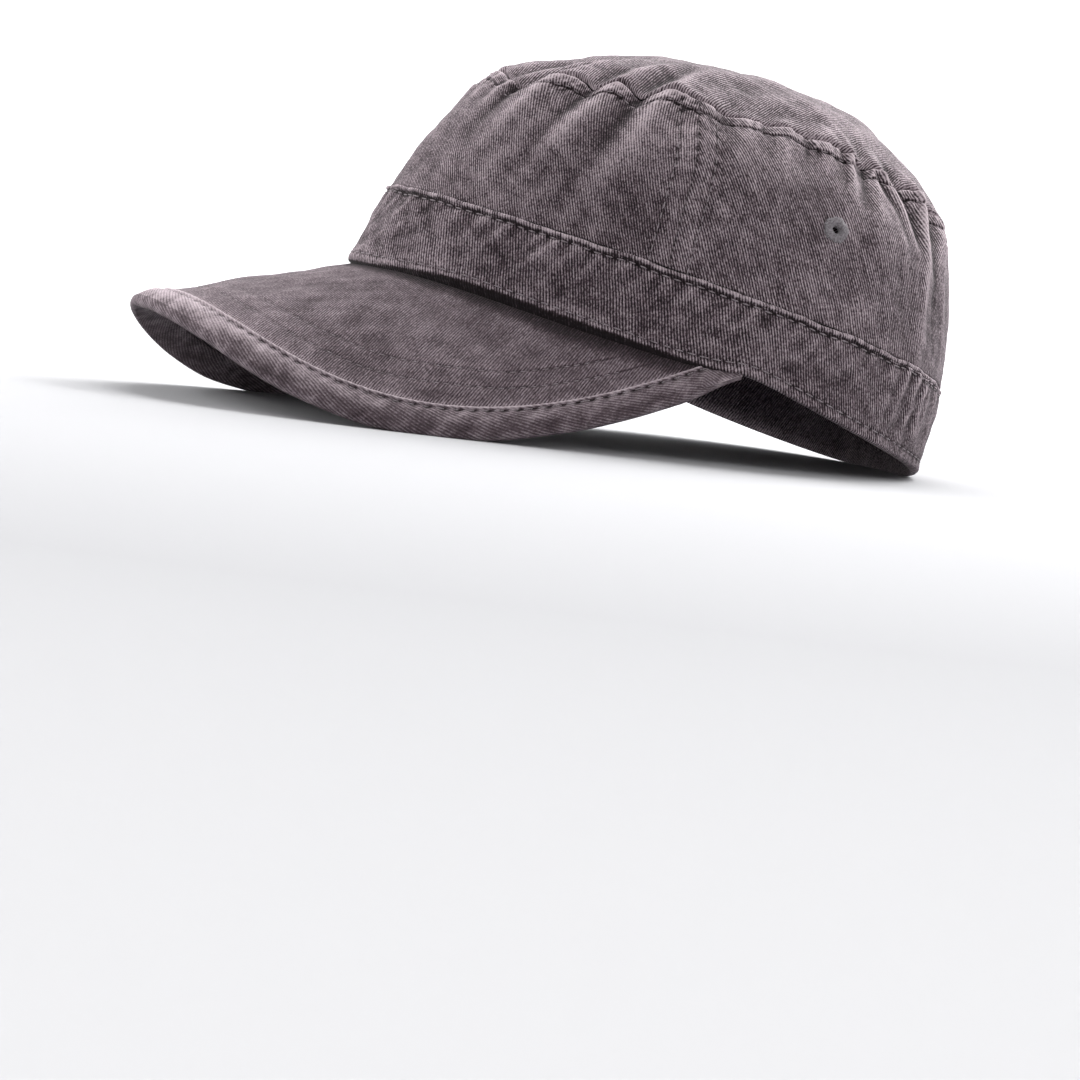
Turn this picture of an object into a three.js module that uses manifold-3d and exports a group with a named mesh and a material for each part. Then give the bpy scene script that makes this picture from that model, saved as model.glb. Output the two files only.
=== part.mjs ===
// Patrol cap in washed cotton twill, resting on a flat surface as it does by itself.
// A sewn band carries three crown panels and a domed top. A curved peak with a padded
// border hangs from the front of the band. Each side panel has one vent eyelet.
// Millimetres, +Z up, the peak points to -Y, the wearer's left is +X.
// The shape is worked out upright, with the head opening near z = 0, and then settled
// onto the surface, where the cap stands on the peak's two sides and the band's back.
import * as THREE from "three";
import { mergeVertices } from "three/addons/utils/BufferGeometryUtils.js";
import Module from "manifold-3d";

// Head opening, at the band's lower edge
const HALF_WIDTH = 83.9;
const FRONT_REACH = 112.1;
const BACK_REACH = 88.6;
const BACK_HEM_DROP = 5;
// How late the hem drops towards the back: 1 is a plain cosine, more is later
const HEM_DROP_POWER = 1.2;
// Share of the outline on each side over which its front half passes into its back half
const SIDE_BLEND = 0.2;
// Exponent of the rounded outline: 2 is an ellipse
const OUTLINE_POWER = 2;

// Heights over the head opening
const BAND_HEIGHT = 26.6;
const TOP_SEAM_HEIGHT = 82.2;
const TOP_HEIGHT = 101;
// Rise of the top from front to back, in mm for each mm
const TOP_BACK_RISE = 0.06;
// How full the top is: 2 is a plain bowl, more is flatter with a rounder edge
const TOP_FULLNESS = 2.5;
// Ring of the top, as a share of the way to the seam, at which the wall aims as it ends
const TOP_AIM_RING = 0.93;

// Cloth
const CROWN_WALL = 1.4;
const BAND_WALL = 2.4;
const PEAK_COVER_WALL = 1.6;
const PEAK_PLY_GAP = 0.5;
const BAND_OVER_PEAK_GAP = 0.45;
const PIECE_GAP = 0.3;
const FOLD_HEIGHT = 1.6;

// Seams
const HEM_ROUND_HEIGHT = 1.2;
const HEM_TUCKS_IN = 0.5;
const WELT_HEIGHT = 1.8;
const WELT_STANDS_OUT = 0.9;
const TOP_STRIP_WIDTH = 5;
const TOP_STRIP_STANDS_OUT = 0.8;
const TOP_EDGE_STANDS_OUT = 0.5;
const SEAM_ANGLE_AT_BAND = 69.5;
const SEAM_ANGLE_AT_TOP = 64.5;
const PANEL_SEAM_DIP = 0.4;
const PANEL_SEAM_DIP_WIDTH = 5;

// Peak
const PEAK_LENGTH = 60.2;
const PEAK_SLOPE = 27.8;
const PEAK_SIDE_DROP = 40.2;
const PEAK_DROP_POWER = 2.26;
// Share of HALF_WIDTH at which the peak has dropped by PEAK_SIDE_DROP
const PEAK_DROP_PLACE = 0.894;
const PEAK_HALF_ANGLE = 86.8;
// How fast the peak narrows to its corners: 1 is a plain cosine, more is faster
const PEAK_NARROWING = 1.2;
const PEAK_BELOW_OPENING = 3.1;
const PEAK_THICK = 4.2;
const PEAK_BORDER_WIDTH = 10.2;
const PEAK_TUCK = 2.2;
const PEAK_LEAST_COVER = 1.5;
const BORDER_RIDGE_HEIGHT = 0.5;
const BORDER_RIDGE_WIDTH = 1.3;
const BORDER_PAD = 0.4;
// Where the ridge ends as a share of its width, and the pad's crest and the underside's
// middle point as shares of the border's width
const BORDER_RIDGE_FOOT = 1.6;
const BORDER_PAD_CREST = 0.65;
const BORDER_UNDER_MIDDLE = 0.5;
const BORDER_EDGE_TURNS = [0, 45, 90, 135, 180];

// Vent eyelets
const EYELET_ANGLE = 96.5;
const EYELET_UP_PANEL = 0.42;
const EYELET_RADIUS = 3.9;
const EYELET_BORE_RADIUS = 1.2;
const EYELET_BARREL_RADIUS = 2.5;
const EYELET_FLANGE = 0.8;
// Room between a flange and the cloth, which curves under it
const EYELET_CLEARANCE = 0.5;

// How far the cloth flattens where it rests
const REST_FLAT = 0.9;

// Facets
const COLUMNS_AROUND = 90;
const COLUMNS_FRONT = 34;
const COLUMNS_SIDE = 28;
const COLUMNS_PEAK = 40;
const COLUMNS_BORDER = 46;
const EYELET_SIDES = 14;

// Outlines of the crown's levels. width, front, back: shares of the head opening's sizes.
// egg: how much wider it is behind than in front, as a share of its width. up: share of
// the way from BAND_HEIGHT to TOP_SEAM_HEIGHT. frontRise, backRise: what the level gains
// in front and behind, as shares of TOP_SEAM_HEIGHT.
const OPENING = { width: 1, front: 1, back: 1, egg: 0.2 };
const WELT = {
  width: 0.999, front: 0.949, back: 0.969, egg: 0.2, up: 0, frontRise: -0.007, backRise: -0.039,
};
const MIDDLE = {
  width: 0.893, front: 0.85, back: 0.889, egg: 0.14, up: 0.637, frontRise: -0.068, backRise: -0.078,
};
const SEAM = {
  width: 0.671, front: 0.763, back: 0.84, egg: 0.08, up: 1, frontRise: -0.129, backRise: -0.117,
};

// Folds and dents of the crown on the wearer's left, from the front round to the back.
// at: degrees from the front at the top seam. lean: degrees it moves towards the front
// on its way down to the band. width: degrees. out: share of FOLD_HEIGHT, less than 0 is
// a dent. reach: share of the panel's height over which it fades downwards.
const FOLDS = [
  { at: 4, lean: 1, width: 4, out: 0.5, reach: 0.7 },
  { at: 9, lean: 2, width: 3, out: -0.9, reach: 0.6 },
  { at: 14, lean: 2, width: 3.2, out: 0.7, reach: 0.8 },
  { at: 19.5, lean: 3, width: 3, out: -1, reach: 0.8 },
  { at: 26, lean: 3, width: 3.4, out: 0.9, reach: 1 },
  { at: 33, lean: 2, width: 3.2, out: -1, reach: 1 },
  { at: 38, lean: 2, width: 3, out: 0.7, reach: 0.9 },
  { at: 43, lean: 1, width: 3, out: -0.9, reach: 0.8 },
  { at: 50, lean: 0, width: 3.5, out: 0.6, reach: 0.7 },
  { at: 57, lean: -1, width: 3.4, out: -0.6, reach: 0.6 },
  { at: 78, lean: 0, width: 4, out: 0.5, reach: 0.6 },
  { at: 86, lean: 0, width: 3.4, out: -0.7, reach: 0.5 },
  { at: 94, lean: 0, width: 4, out: 0.7, reach: 0.5 },
  { at: 102, lean: 1, width: 3, out: -1, reach: 0.7 },
  { at: 108, lean: -2, width: 3.2, out: 0.9, reach: 0.8 },
  { at: 114, lean: -7, width: 3.2, out: -1.1, reach: 0.9 },
  { at: 121, lean: -3, width: 3.6, out: 0.9, reach: 0.9 },
  { at: 128, lean: 8, width: 3.4, out: -1, reach: 1 },
  { at: 138, lean: 4, width: 5, out: 0.6, reach: 0.8 },
  { at: 150, lean: 2, width: 4, out: -0.7, reach: 0.7 },
  { at: 163, lean: 0, width: 5, out: 0.5, reach: 0.6 },
  { at: 176, lean: 0, width: 4, out: -0.5, reach: 0.6 },
];
// The wearer's right has the same kind of folds, a few degrees on and a little softer
const RIGHT_FOLD_SHIFT = 3;
const RIGHT_FOLD_LOSS = 0.15;
// Share of the top over which its folds fade towards the middle
const TOP_FOLD_REACH = 0.35;

// Share of a panel's height below its stitched strip
const PANEL_BELOW_STRIP = 0.9;
// Rows of a crown panel. up: share of the height between the band and the stitched strip
// under the top seam. strip: share of that strip. out: share of TOP_STRIP_STANDS_OUT.
const PANEL_OUTER_ROWS = [
  { up: 0, strip: 0, out: 0 },
  { up: 0.18, strip: 0, out: 0 },
  { up: 0.36, strip: 0, out: 0 },
  { up: 0.54, strip: 0, out: 0 },
  { up: 0.7, strip: 0, out: 0 },
  { up: 0.86, strip: 0, out: 0 },
  { up: 1, strip: 0, out: -0.2 },
  { up: 1, strip: 0.3, out: 0.9 },
  { up: 1, strip: 0.75, out: 1 },
  { up: 1, strip: 1, out: 0 },
];
const PANEL_INNER_ROWS = [
  { up: 1, strip: 1, out: 0 },
  { up: 0.86, strip: 0, out: 0 },
  { up: 0.7, strip: 0, out: 0 },
  { up: 0.54, strip: 0, out: 0 },
  { up: 0.36, strip: 0, out: 0 },
  { up: 0.18, strip: 0, out: 0 },
  { up: 0, strip: 0, out: 0 },
];
// Rings of the top, as shares of the way from its middle to the seam
const TOP_OUTER_RINGS = [0.2, 0.42, 0.62, 0.79, 0.91, 0.975, 1];
const TOP_INNER_RINGS = [1, 0.85, 0.6, 0.3];
const TOP_EDGE_RING = 0.975;

// Shares across the peak's covers, from the band to the border
const COVER_SHARES = [0, 0.22, 0.46, 0.72, 1];

// Washed charcoal cotton, its worn raised edges, and the eyelets' thread
const TWILL = new THREE.MeshStandardMaterial({ color: 0x5d5254, roughness: 0.94, metalness: 0 });
const TWILL_EDGE = new THREE.MeshStandardMaterial({ color: 0x6a5f61, roughness: 0.92, metalness: 0 });
const THREAD = new THREE.MeshStandardMaterial({ color: 0x625b59, roughness: 0.9, metalness: 0 });

const STEP = 1e-3;
const MERGE_DISTANCE = 1e-4;
const HALVINGS = 50;
const HEM_FADE = 0.35;
// Tilts in degrees between which the resting one is found
const LEAST_TILT = -40;
const MOST_TILT = 20;
// Length of the tool that cuts an eyelet's hole, in walls of the crown
const PUNCH_WALLS = 6;
const radians = THREE.MathUtils.degToRad;
const degrees = THREE.MathUtils.radToDeg;
const lerp = THREE.MathUtils.lerp;
const PEAK_END = radians(PEAK_HALF_ANGLE);
const signedPower = (value, power) => Math.sign(value) * Math.abs(value) ** power;
const wrapAngle = (angle) => Math.atan2(Math.sin(angle), Math.cos(angle));
const bell = (value) => Math.exp(-(value ** 2));

// The upper face of the peak, as a height over each place in plan
function peakHeight(x, y) {
  const slope = Math.tan(radians(PEAK_SLOPE));
  const drop = PEAK_SIDE_DROP * (Math.abs(x) / (HALF_WIDTH * PEAK_DROP_PLACE)) ** PEAK_DROP_POWER;
  return slope * (y + FRONT_REACH) - PEAK_BELOW_OPENING - drop;
}

// A level's outline in plan: angle 0 is the front and 90 degrees is the wearer's left
function outline(level, angle) {
  const c = Math.cos(angle);
  const power = 2 / OUTLINE_POWER;
  const ahead = THREE.MathUtils.smoothstep(c, -SIDE_BLEND, SIDE_BLEND);
  const reach = lerp(BACK_REACH * level.back, FRONT_REACH * level.front, ahead);
  const halfWidth = HALF_WIDTH * level.width * (1 - level.egg * c);
  return new THREE.Vector2(halfWidth * signedPower(Math.sin(angle), power), -reach * signedPower(c, power));
}

// The band's lower edge lies on the peak in front and eases down to the hem behind it
function hemHeight(x, y, angle) {
  const past = Math.abs(wrapAngle(angle)) - PEAK_END;
  if (past <= 0) {
    return peakHeight(x, y);
  }
  const corner = outline(OPENING, PEAK_END);
  const inward = Math.min(Math.abs(x) - Math.abs(outline(OPENING, angle).x), 0);
  const behind = Math.max(-Math.cos(angle), 0);
  const eased = peakHeight(corner.x + inward, corner.y) * bell(past / HEM_FADE);
  return eased - BACK_HEM_DROP * behind ** HEM_DROP_POWER;
}

function levelPoint(level, angle) {
  const plan = outline(level, angle);
  const front = Math.max(Math.cos(angle), 0) ** 2;
  const back = Math.max(-Math.cos(angle), 0) ** 2;
  const rise = TOP_SEAM_HEIGHT * (level.frontRise * front + level.backRise * back);
  return new THREE.Vector3(plan.x, plan.y, lerp(BAND_HEIGHT, TOP_SEAM_HEIGHT, level.up) + rise);
}

// The domed top: share 1 is its seam and 0 is its middle
function topPoint(angle, share) {
  const seam = levelPoint(SEAM, angle);
  const crest = TOP_HEIGHT + TOP_BACK_RISE * seam.y * share;
  const height = crest - (crest - seam.z) * share ** TOP_FULLNESS;
  return new THREE.Vector3(seam.x * share, seam.y * share, height);
}

// The wall runs smoothly through its four levels: 0 hem, 1 welt, 2 middle, 3 top seam
function wallPoint(angle, level) {
  const plan = outline(OPENING, angle);
  const hem = new THREE.Vector3(plan.x, plan.y, hemHeight(plan.x, plan.y, angle));
  const welt = levelPoint(WELT, angle);
  const middle = levelPoint(MIDDLE, angle);
  const seam = levelPoint(SEAM, angle);
  const below = hem.clone().multiplyScalar(2).sub(welt);
  const above = topPoint(angle, TOP_AIM_RING).multiplyScalar(2);
  above.sub(seam.clone().add(middle).divideScalar(2));
  const knots = [below, hem, welt, middle, seam, above];
  const span = Math.min(Math.max(Math.floor(level), 0), 2);
  const [a, b, c, d] = knots.slice(span, span + 4);
  const t = level - span;
  return new THREE.Vector3()
    .addScaledVector(a, 0.5 * (-t + 2 * t ** 2 - t ** 3))
    .addScaledVector(b, 0.5 * (2 - 5 * t ** 2 + 3 * t ** 3))
    .addScaledVector(c, 0.5 * (t + 4 * t ** 2 - 3 * t ** 3))
    .addScaledVector(d, 0.5 * (-(t ** 2) + t ** 3));
}

const across = (surface, angle, v) =>
  surface(angle + STEP, v).sub(surface(angle - STEP, v)).divideScalar(2 * STEP);
const along = (surface, angle, v) =>
  surface(angle, v + STEP).sub(surface(angle, v - STEP)).divideScalar(2 * STEP);

const wallNormal = (angle, level) =>
  across(wallPoint, angle, level).cross(along(wallPoint, angle, level)).normalize();
const topNormal = (angle, share) =>
  along(topPoint, angle, share).cross(across(topPoint, angle, share)).normalize();

// The mitre between wall and top at their seam: an offset along it keeps both thicknesses
function seamMitre(angle) {
  const wall = wallNormal(angle, 3);
  const middle = wall.clone().add(topNormal(angle, 1)).normalize();
  return middle.divideScalar(middle.dot(wall));
}

// How far the folds push the crown out; up is 0 at the band and 1 at the top seam
function foldOut(angle, up) {
  const turned = wrapAngle(angle);
  const right = turned < 0 ? Math.abs(Math.sin(turned)) : 0;
  const place = Math.abs(degrees(turned)) - RIGHT_FOLD_SHIFT * right;
  let sum = 0;
  for (const fold of FOLDS) {
    const strength = THREE.MathUtils.smoothstep(up, 1 - fold.reach, 1);
    sum += fold.out * strength * bell((place - fold.at + fold.lean * (1 - up)) / fold.width);
  }
  return FOLD_HEIGHT * sum * (1 - RIGHT_FOLD_LOSS * right);
}

// The triangles of a closed outline that lies nearly flat
function flatFan(points) {
  const normal = new THREE.Vector3();
  points.forEach((point, i) => normal.add(point.clone().cross(points[(i + 1) % points.length])));
  const reaches = points.map((point) => point.distanceTo(points[0]));
  const far = points[reaches.indexOf(Math.max(...reaches))];
  const first = far.clone().sub(points[0]).normalize();
  const second = normal.normalize().clone().cross(first).normalize();
  const flat = points.map((point) => new THREE.Vector2(point.dot(first), point.dot(second)));
  return THREE.ShapeUtils.triangulateShape(flat, []);
}

// A closed body through equal loops of points. It runs round to its start, or ends in
// flat faces, or closes on one point at each end.
function loft(loops, { round = false, poles = [] } = {}) {
  const count = loops[0].length;
  const points = loops.flat().concat(poles);
  const triangles = [];
  const last = round ? loops.length : loops.length - 1;
  for (let i = 0; i < last; i += 1) {
    const here = i * count;
    const next = ((i + 1) % loops.length) * count;
    for (let j = 0; j < count; j += 1) {
      const k = (j + 1) % count;
      triangles.push([here + j, here + k, next + k], [here + j, next + k, next + j]);
    }
  }
  const end = (loops.length - 1) * count;
  if (poles.length) {
    for (let j = 0; j < count; j += 1) {
      const k = (j + 1) % count;
      triangles.push([loops.length * count, k, j], [loops.length * count + 1, end + j, end + k]);
    }
  } else if (!round) {
    const startFaces = flatFan(loops[0]);
    const endFaces = flatFan(loops[loops.length - 1]);
    triangles.push(...startFaces.map(([a, b, c]) => [c, b, a]));
    triangles.push(...endFaces.map((face) => face.map((index) => end + index)));
  }
  return bodyOf(points, triangles);
}

// A geometry of the given triangles, turned to face outwards
function bodyOf(points, triangles) {
  const volume = triangles.reduce((sum, [a, b, c]) => {
    return sum + points[a].dot(points[b].clone().cross(points[c]));
  }, 0);
  const facing = volume > 0 ? triangles : triangles.map(([a, b, c]) => [a, c, b]);
  const geometry = new THREE.BufferGeometry().setFromPoints(points);
  geometry.setIndex(facing.flat());
  return geometry;
}

const wasm = await Module();
wasm.setup();

function solidOf(geometry) {
  const bare = new THREE.BufferGeometry();
  bare.setAttribute("position", geometry.getAttribute("position"));
  bare.setIndex(geometry.getIndex());
  const merged = mergeVertices(bare, MERGE_DISTANCE);
  return new wasm.Manifold(new wasm.Mesh({
    numProp: 3,
    vertProperties: new Float32Array(merged.getAttribute("position").array),
    triVerts: new Uint32Array(merged.getIndex().array),
  }));
}

function geometryOf(solid) {
  const mesh = solid.getMesh();
  const geometry = new THREE.BufferGeometry();
  geometry.setAttribute("position", new THREE.BufferAttribute(mesh.vertProperties, mesh.numProp));
  geometry.setIndex(new THREE.BufferAttribute(mesh.triVerts, 1));
  return geometry;
}

// A place on a crown panel: out of the surface by so much, with the seams' gaps kept
function panelPlace(angle, row, inner) {
  const gap = PIECE_GAP / 2;
  const bottom = 1 + PIECE_GAP / along(wallPoint, angle, 1).length();
  const topSpeed = along(wallPoint, angle, 3).length();
  const top = 3 - gap / topSpeed;
  const stripFoot = 3 - TOP_STRIP_WIDTH / topSpeed;
  const level = row.strip > 0 ? lerp(stripFoot, top, row.strip) : lerp(bottom, stripFoot, row.up);
  const up = (level - 1) / 2;
  const offset = foldOut(angle, up) + row.out * TOP_STRIP_STANDS_OUT - (inner ? CROWN_WALL : 0);
  const mitred = row.strip === 1;
  const normal = mitred ? seamMitre(angle) : wallNormal(angle, level);
  return wallPoint(angle, level).addScaledVector(normal, offset);
}

// The angle of a panel's edge where its seam runs from the band to the top
const seamAngle = (level) => lerp(SEAM_ANGLE_AT_BAND, SEAM_ANGLE_AT_TOP, (level - 1) / 2);

function panelLoop(share, from, to) {
  const rows = PANEL_OUTER_ROWS.map((row) => [row, false]);
  rows.push(...PANEL_INNER_ROWS.map((row) => [row, true]));
  return rows.map(([row, inner]) => {
    const level = lerp(1, 3, Math.max(row.up * PANEL_BELOW_STRIP, row.strip));
    const start = radians(from(level));
    const end = radians(to(level));
    const middle = lerp(start, end, share);
    const speed = across(wallPoint, middle, level).length();
    const inset = PIECE_GAP / 2 / speed;
    const angle = lerp(start + inset, end - inset, share);
    const seamDistance = Math.min(angle - start, end - angle) * speed;
    const dip = PANEL_SEAM_DIP * bell(seamDistance / PANEL_SEAM_DIP_WIDTH);
    const place = panelPlace(angle, row, inner);
    return place.addScaledVector(wallNormal(angle, level), row.strip === 1 ? 0 : -dip);
  });
}

function crownPanel(from, to, columns) {
  const loops = [];
  for (let i = 0; i <= columns; i += 1) {
    loops.push(panelLoop(i / columns, from, to));
  }
  return loft(loops);
}

const crownFront = () => crownPanel((level) => -seamAngle(level), seamAngle, COLUMNS_FRONT);
const crownLeft = () => crownPanel(seamAngle, () => 180, COLUMNS_SIDE);
const crownRight = () => crownPanel(() => -180, (level) => -seamAngle(level), COLUMNS_SIDE);

// The domed top, whose edge meets the panels on the mitre and stands out over them
function crownTop() {
  const ring = (share, inner) => {
    const points = [];
    for (let i = 0; i < COLUMNS_AROUND; i += 1) {
      const angle = (2 * Math.PI * i) / COLUMNS_AROUND;
      const gap = PIECE_GAP / 2 / along(topPoint, angle, 1).length();
      const edge = share === 1;
      const normal = edge ? seamMitre(angle) : topNormal(angle, share);
      const fade = THREE.MathUtils.smoothstep(share, 1 - TOP_FOLD_REACH, 1);
      const lip = share === TOP_EDGE_RING && !inner ? TOP_EDGE_STANDS_OUT : 0;
      const out = foldOut(angle, 1) * fade + lip - (inner ? CROWN_WALL : 0);
      points.push(topPoint(angle, edge ? 1 - gap : share).addScaledVector(normal, out));
    }
    return points;
  };
  const loops = TOP_OUTER_RINGS.map((share) => ring(share, false));
  loops.push(...TOP_INNER_RINGS.map((share) => ring(share, true)));
  const middle = topPoint(0, 0);
  const under = new THREE.Vector3(middle.x, middle.y, middle.z - CROWN_WALL);
  return loft(loops, { poles: [middle, under] });
}

// The band's section: out from the wall's surface, and up as a share of its height with
// a length to add. The welt is its rounded upper lip.
const BAND_SECTION = [
  { up: 0, add: 0, out: -HEM_TUCKS_IN },
  { up: 0, add: HEM_ROUND_HEIGHT, out: 0 },
  { up: 0.36, add: 0, out: 0 },
  { up: 0.7, add: 0, out: 0 },
  { up: 1, add: -1.6 * WELT_HEIGHT, out: 0 },
  { up: 1, add: -WELT_HEIGHT, out: 0.8 * WELT_STANDS_OUT },
  { up: 1, add: -0.4 * WELT_HEIGHT, out: WELT_STANDS_OUT },
  { up: 1, add: 0, out: 0.4 * WELT_STANDS_OUT },
  { up: 1, add: 0, out: -BAND_WALL },
  { up: 0.5, add: 0, out: -BAND_WALL },
  { up: 0, add: 0, out: -BAND_WALL },
];

function peakNormal(x, y) {
  const slopeX = (peakHeight(x + STEP, y) - peakHeight(x - STEP, y)) / (2 * STEP);
  const slopeY = (peakHeight(x, y + STEP) - peakHeight(x, y - STEP)) / (2 * STEP);
  return new THREE.Vector3(-slopeX, -slopeY, 1).normalize();
}

function band() {
  const loops = [];
  for (let i = 0; i < COLUMNS_AROUND; i += 1) {
    const angle = (2 * Math.PI * i) / COLUMNS_AROUND;
    const height = along(wallPoint, angle, 0.5).length();
    loops.push(BAND_SECTION.map(({ up, add, out }) => {
      const level = up + add / height;
      const place = wallPoint(angle, level).addScaledVector(wallNormal(angle, level), out);
      if (up === 0 && add === 0) {
        const past = Math.max(Math.abs(wrapAngle(angle)) - PEAK_END, 0);
        const clear = (BAND_OVER_PEAK_GAP / peakNormal(place.x, place.y).z) * bell(past / HEM_FADE);
        place.z = hemHeight(place.x, place.y, angle) + clear;
      }
      return place;
    }));
  }
  return loft(loops, { round: true });
}

// The peak in plan: at is the distance out from the band's lower edge
function peakPlan(angle, at) {
  const ahead = outline(OPENING, angle + STEP).sub(outline(OPENING, angle - STEP)).normalize();
  return outline(OPENING, angle).add(new THREE.Vector2(ahead.y, -ahead.x).multiplyScalar(at));
}

function peakReach(angle) {
  const narrowing = Math.max(Math.cos((Math.PI / 2) * (angle / PEAK_END)), 0);
  return PEAK_LENGTH * narrowing ** PEAK_NARROWING;
}

// A point of the peak: at is in plan, and depth is square to the upper face
function peakPoint(angle, at, depth) {
  const plan = peakPlan(angle, at);
  const face = new THREE.Vector3(plan.x, plan.y, peakHeight(plan.x, plan.y));
  return face.addScaledVector(peakNormal(plan.x, plan.y), -depth);
}

// How much longer a line across the border is than its plan
function borderStretch(angle) {
  const reach = peakReach(angle);
  return peakPoint(angle, reach, 0).distanceTo(peakPoint(angle, reach - 1, 0));
}

const borderPlanWidth = (angle) => PEAK_BORDER_WIDTH / borderStretch(angle);

// The angle at which the covers run out into the border
function coverEnd() {
  let low = 0;
  let high = PEAK_END;
  for (let i = 0; i < HALVINGS; i += 1) {
    const middle = (low + high) / 2;
    const wide = peakReach(middle) - borderPlanWidth(middle) > PEAK_LEAST_COVER;
    low = wide ? middle : low;
    high = wide ? high : middle;
  }
  return low;
}

// One cloth of the peak, between two depths under its upper face
function peakCover(topDepth, bottomDepth) {
  const end = coverEnd();
  const loops = [];
  for (let i = 0; i <= COLUMNS_PEAK; i += 1) {
    const angle = lerp(-end, end, i / COLUMNS_PEAK);
    const outer = peakReach(angle) - borderPlanWidth(angle) - PIECE_GAP;
    const face = (depth) =>
      COVER_SHARES.map((share) => peakPoint(angle, lerp(-PEAK_TUCK, outer, share), depth));
    loops.push([...face(topDepth), ...face(bottomDepth).reverse()]);
  }
  return loft(loops);
}

// The padded border: a raised ridge at its inner edge and a rounded outer edge
function borderLoop(angle) {
  const reach = peakReach(angle);
  const stretch = borderStretch(angle);
  const width = Math.min(borderPlanWidth(angle), reach + PEAK_TUCK);
  const ridge = Math.min(BORDER_RIDGE_WIDTH / stretch, width / 4);
  const radius = PEAK_THICK / 2;
  const inner = reach - width;
  const clearOfBand = THREE.MathUtils.smoothstep(inner, -PEAK_TUCK, PEAK_TUCK);
  const loop = [
    peakPoint(angle, inner, BORDER_RIDGE_HEIGHT),
    peakPoint(angle, inner + ridge / 3, -BORDER_RIDGE_HEIGHT * clearOfBand),
    peakPoint(angle, inner + ridge, -BORDER_RIDGE_HEIGHT * clearOfBand),
    peakPoint(angle, inner + BORDER_RIDGE_FOOT * ridge, 0),
    peakPoint(angle, inner + width * BORDER_PAD_CREST, -BORDER_PAD * clearOfBand),
  ];
  const edge = peakPoint(angle, reach, 0);
  const plan = peakPlan(angle, reach);
  const normal = peakNormal(plan.x, plan.y);
  const outward = edge.clone().sub(peakPoint(angle, reach - 1, 0));
  outward.addScaledVector(normal, -outward.dot(normal)).normalize();
  for (const turn of BORDER_EDGE_TURNS) {
    const around = radians(turn);
    const point = edge.clone().addScaledVector(normal, radius * (Math.cos(around) - 1));
    loop.push(point.addScaledVector(outward, radius * Math.sin(around)));
  }
  loop.push(peakPoint(angle, inner + width * BORDER_UNDER_MIDDLE, PEAK_THICK));
  loop.push(peakPoint(angle, inner, PEAK_THICK));
  return loop;
}

function peakBorder() {
  const loops = [];
  for (let i = 0; i <= COLUMNS_BORDER; i += 1) {
    loops.push(borderLoop(lerp(-PEAK_END, PEAK_END, i / COLUMNS_BORDER)));
  }
  return loft(loops);
}

// The turn and place of an eyelet, with its axis square to the side panel
function eyeletFrame(side) {
  const angle = side * radians(EYELET_ANGLE);
  const level = lerp(1, 3, EYELET_UP_PANEL);
  const normal = wallNormal(angle, level);
  const middle = wallPoint(angle, level);
  middle.addScaledVector(normal, foldOut(angle, EYELET_UP_PANEL) - CROWN_WALL / 2);
  const turn = new THREE.Quaternion().setFromUnitVectors(new THREE.Vector3(0, 1, 0), normal);
  return new THREE.Matrix4().compose(middle, turn, new THREE.Vector3(1, 1, 1));
}

// A sewn ring: a barrel through the cloth with a flange on each side of it
function eyelet(side) {
  const seat = CROWN_WALL / 2 + EYELET_CLEARANCE;
  const face = seat + EYELET_FLANGE;
  const mid = (EYELET_RADIUS + EYELET_BORE_RADIUS) / 2;
  const half = [
    [EYELET_BARREL_RADIUS, seat],
    [EYELET_RADIUS, seat],
    [EYELET_RADIUS, seat + 0.4 * EYELET_FLANGE],
    [mid, face],
    [EYELET_BORE_RADIUS, face - 0.4 * EYELET_FLANGE],
  ];
  const mirrored = half.map(([radius, height]) => [radius, -height]).reverse();
  const ring = [...half, ...mirrored, half[0]];
  const profile = ring.map(([radius, height]) => new THREE.Vector2(radius, height));
  const turned = new THREE.LatheGeometry(profile, EYELET_SIDES).applyMatrix4(eyeletFrame(side));
  turned.deleteAttribute("uv");
  turned.deleteAttribute("normal");
  return mergeVertices(turned, MERGE_DISTANCE);
}

// A side panel with the hole for its eyelet's barrel
function pierced(panel, side) {
  const radius = EYELET_BARREL_RADIUS + PIECE_GAP;
  const punch = new THREE.CylinderGeometry(radius, radius, PUNCH_WALLS * CROWN_WALL, EYELET_SIDES);
  punch.applyMatrix4(eyeletFrame(side));
  return geometryOf(solidOf(panel).subtract(solidOf(punch)));
}

const lowerDepth = PEAK_COVER_WALL + PEAK_PLY_GAP;
const pieces = [
  { name: "crown_top", geometry: crownTop(), material: TWILL },
  { name: "crown_front", geometry: crownFront(), material: TWILL },
  { name: "crown_side_left", geometry: pierced(crownLeft(), 1), material: TWILL },
  { name: "crown_side_right", geometry: pierced(crownRight(), -1), material: TWILL },
  { name: "band", geometry: band(), material: TWILL },
  { name: "peak_top", geometry: peakCover(0, PEAK_COVER_WALL), material: TWILL },
  { name: "peak_under", geometry: peakCover(lowerDepth, lowerDepth + PEAK_COVER_WALL), material: TWILL },
  { name: "peak_border", geometry: peakBorder(), material: TWILL_EDGE },
  { name: "eyelet_left", geometry: eyelet(1), material: THREAD },
  { name: "eyelet_right", geometry: eyelet(-1), material: THREAD },
];

// The lowest point of a piece once it is tilted about X
function lowest(geometry, tilt) {
  const position = geometry.getAttribute("position");
  let low = Infinity;
  for (let i = 0; i < position.count; i += 1) {
    low = Math.min(low, position.getY(i) * Math.sin(tilt) + position.getZ(i) * Math.cos(tilt));
  }
  return low;
}

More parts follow.
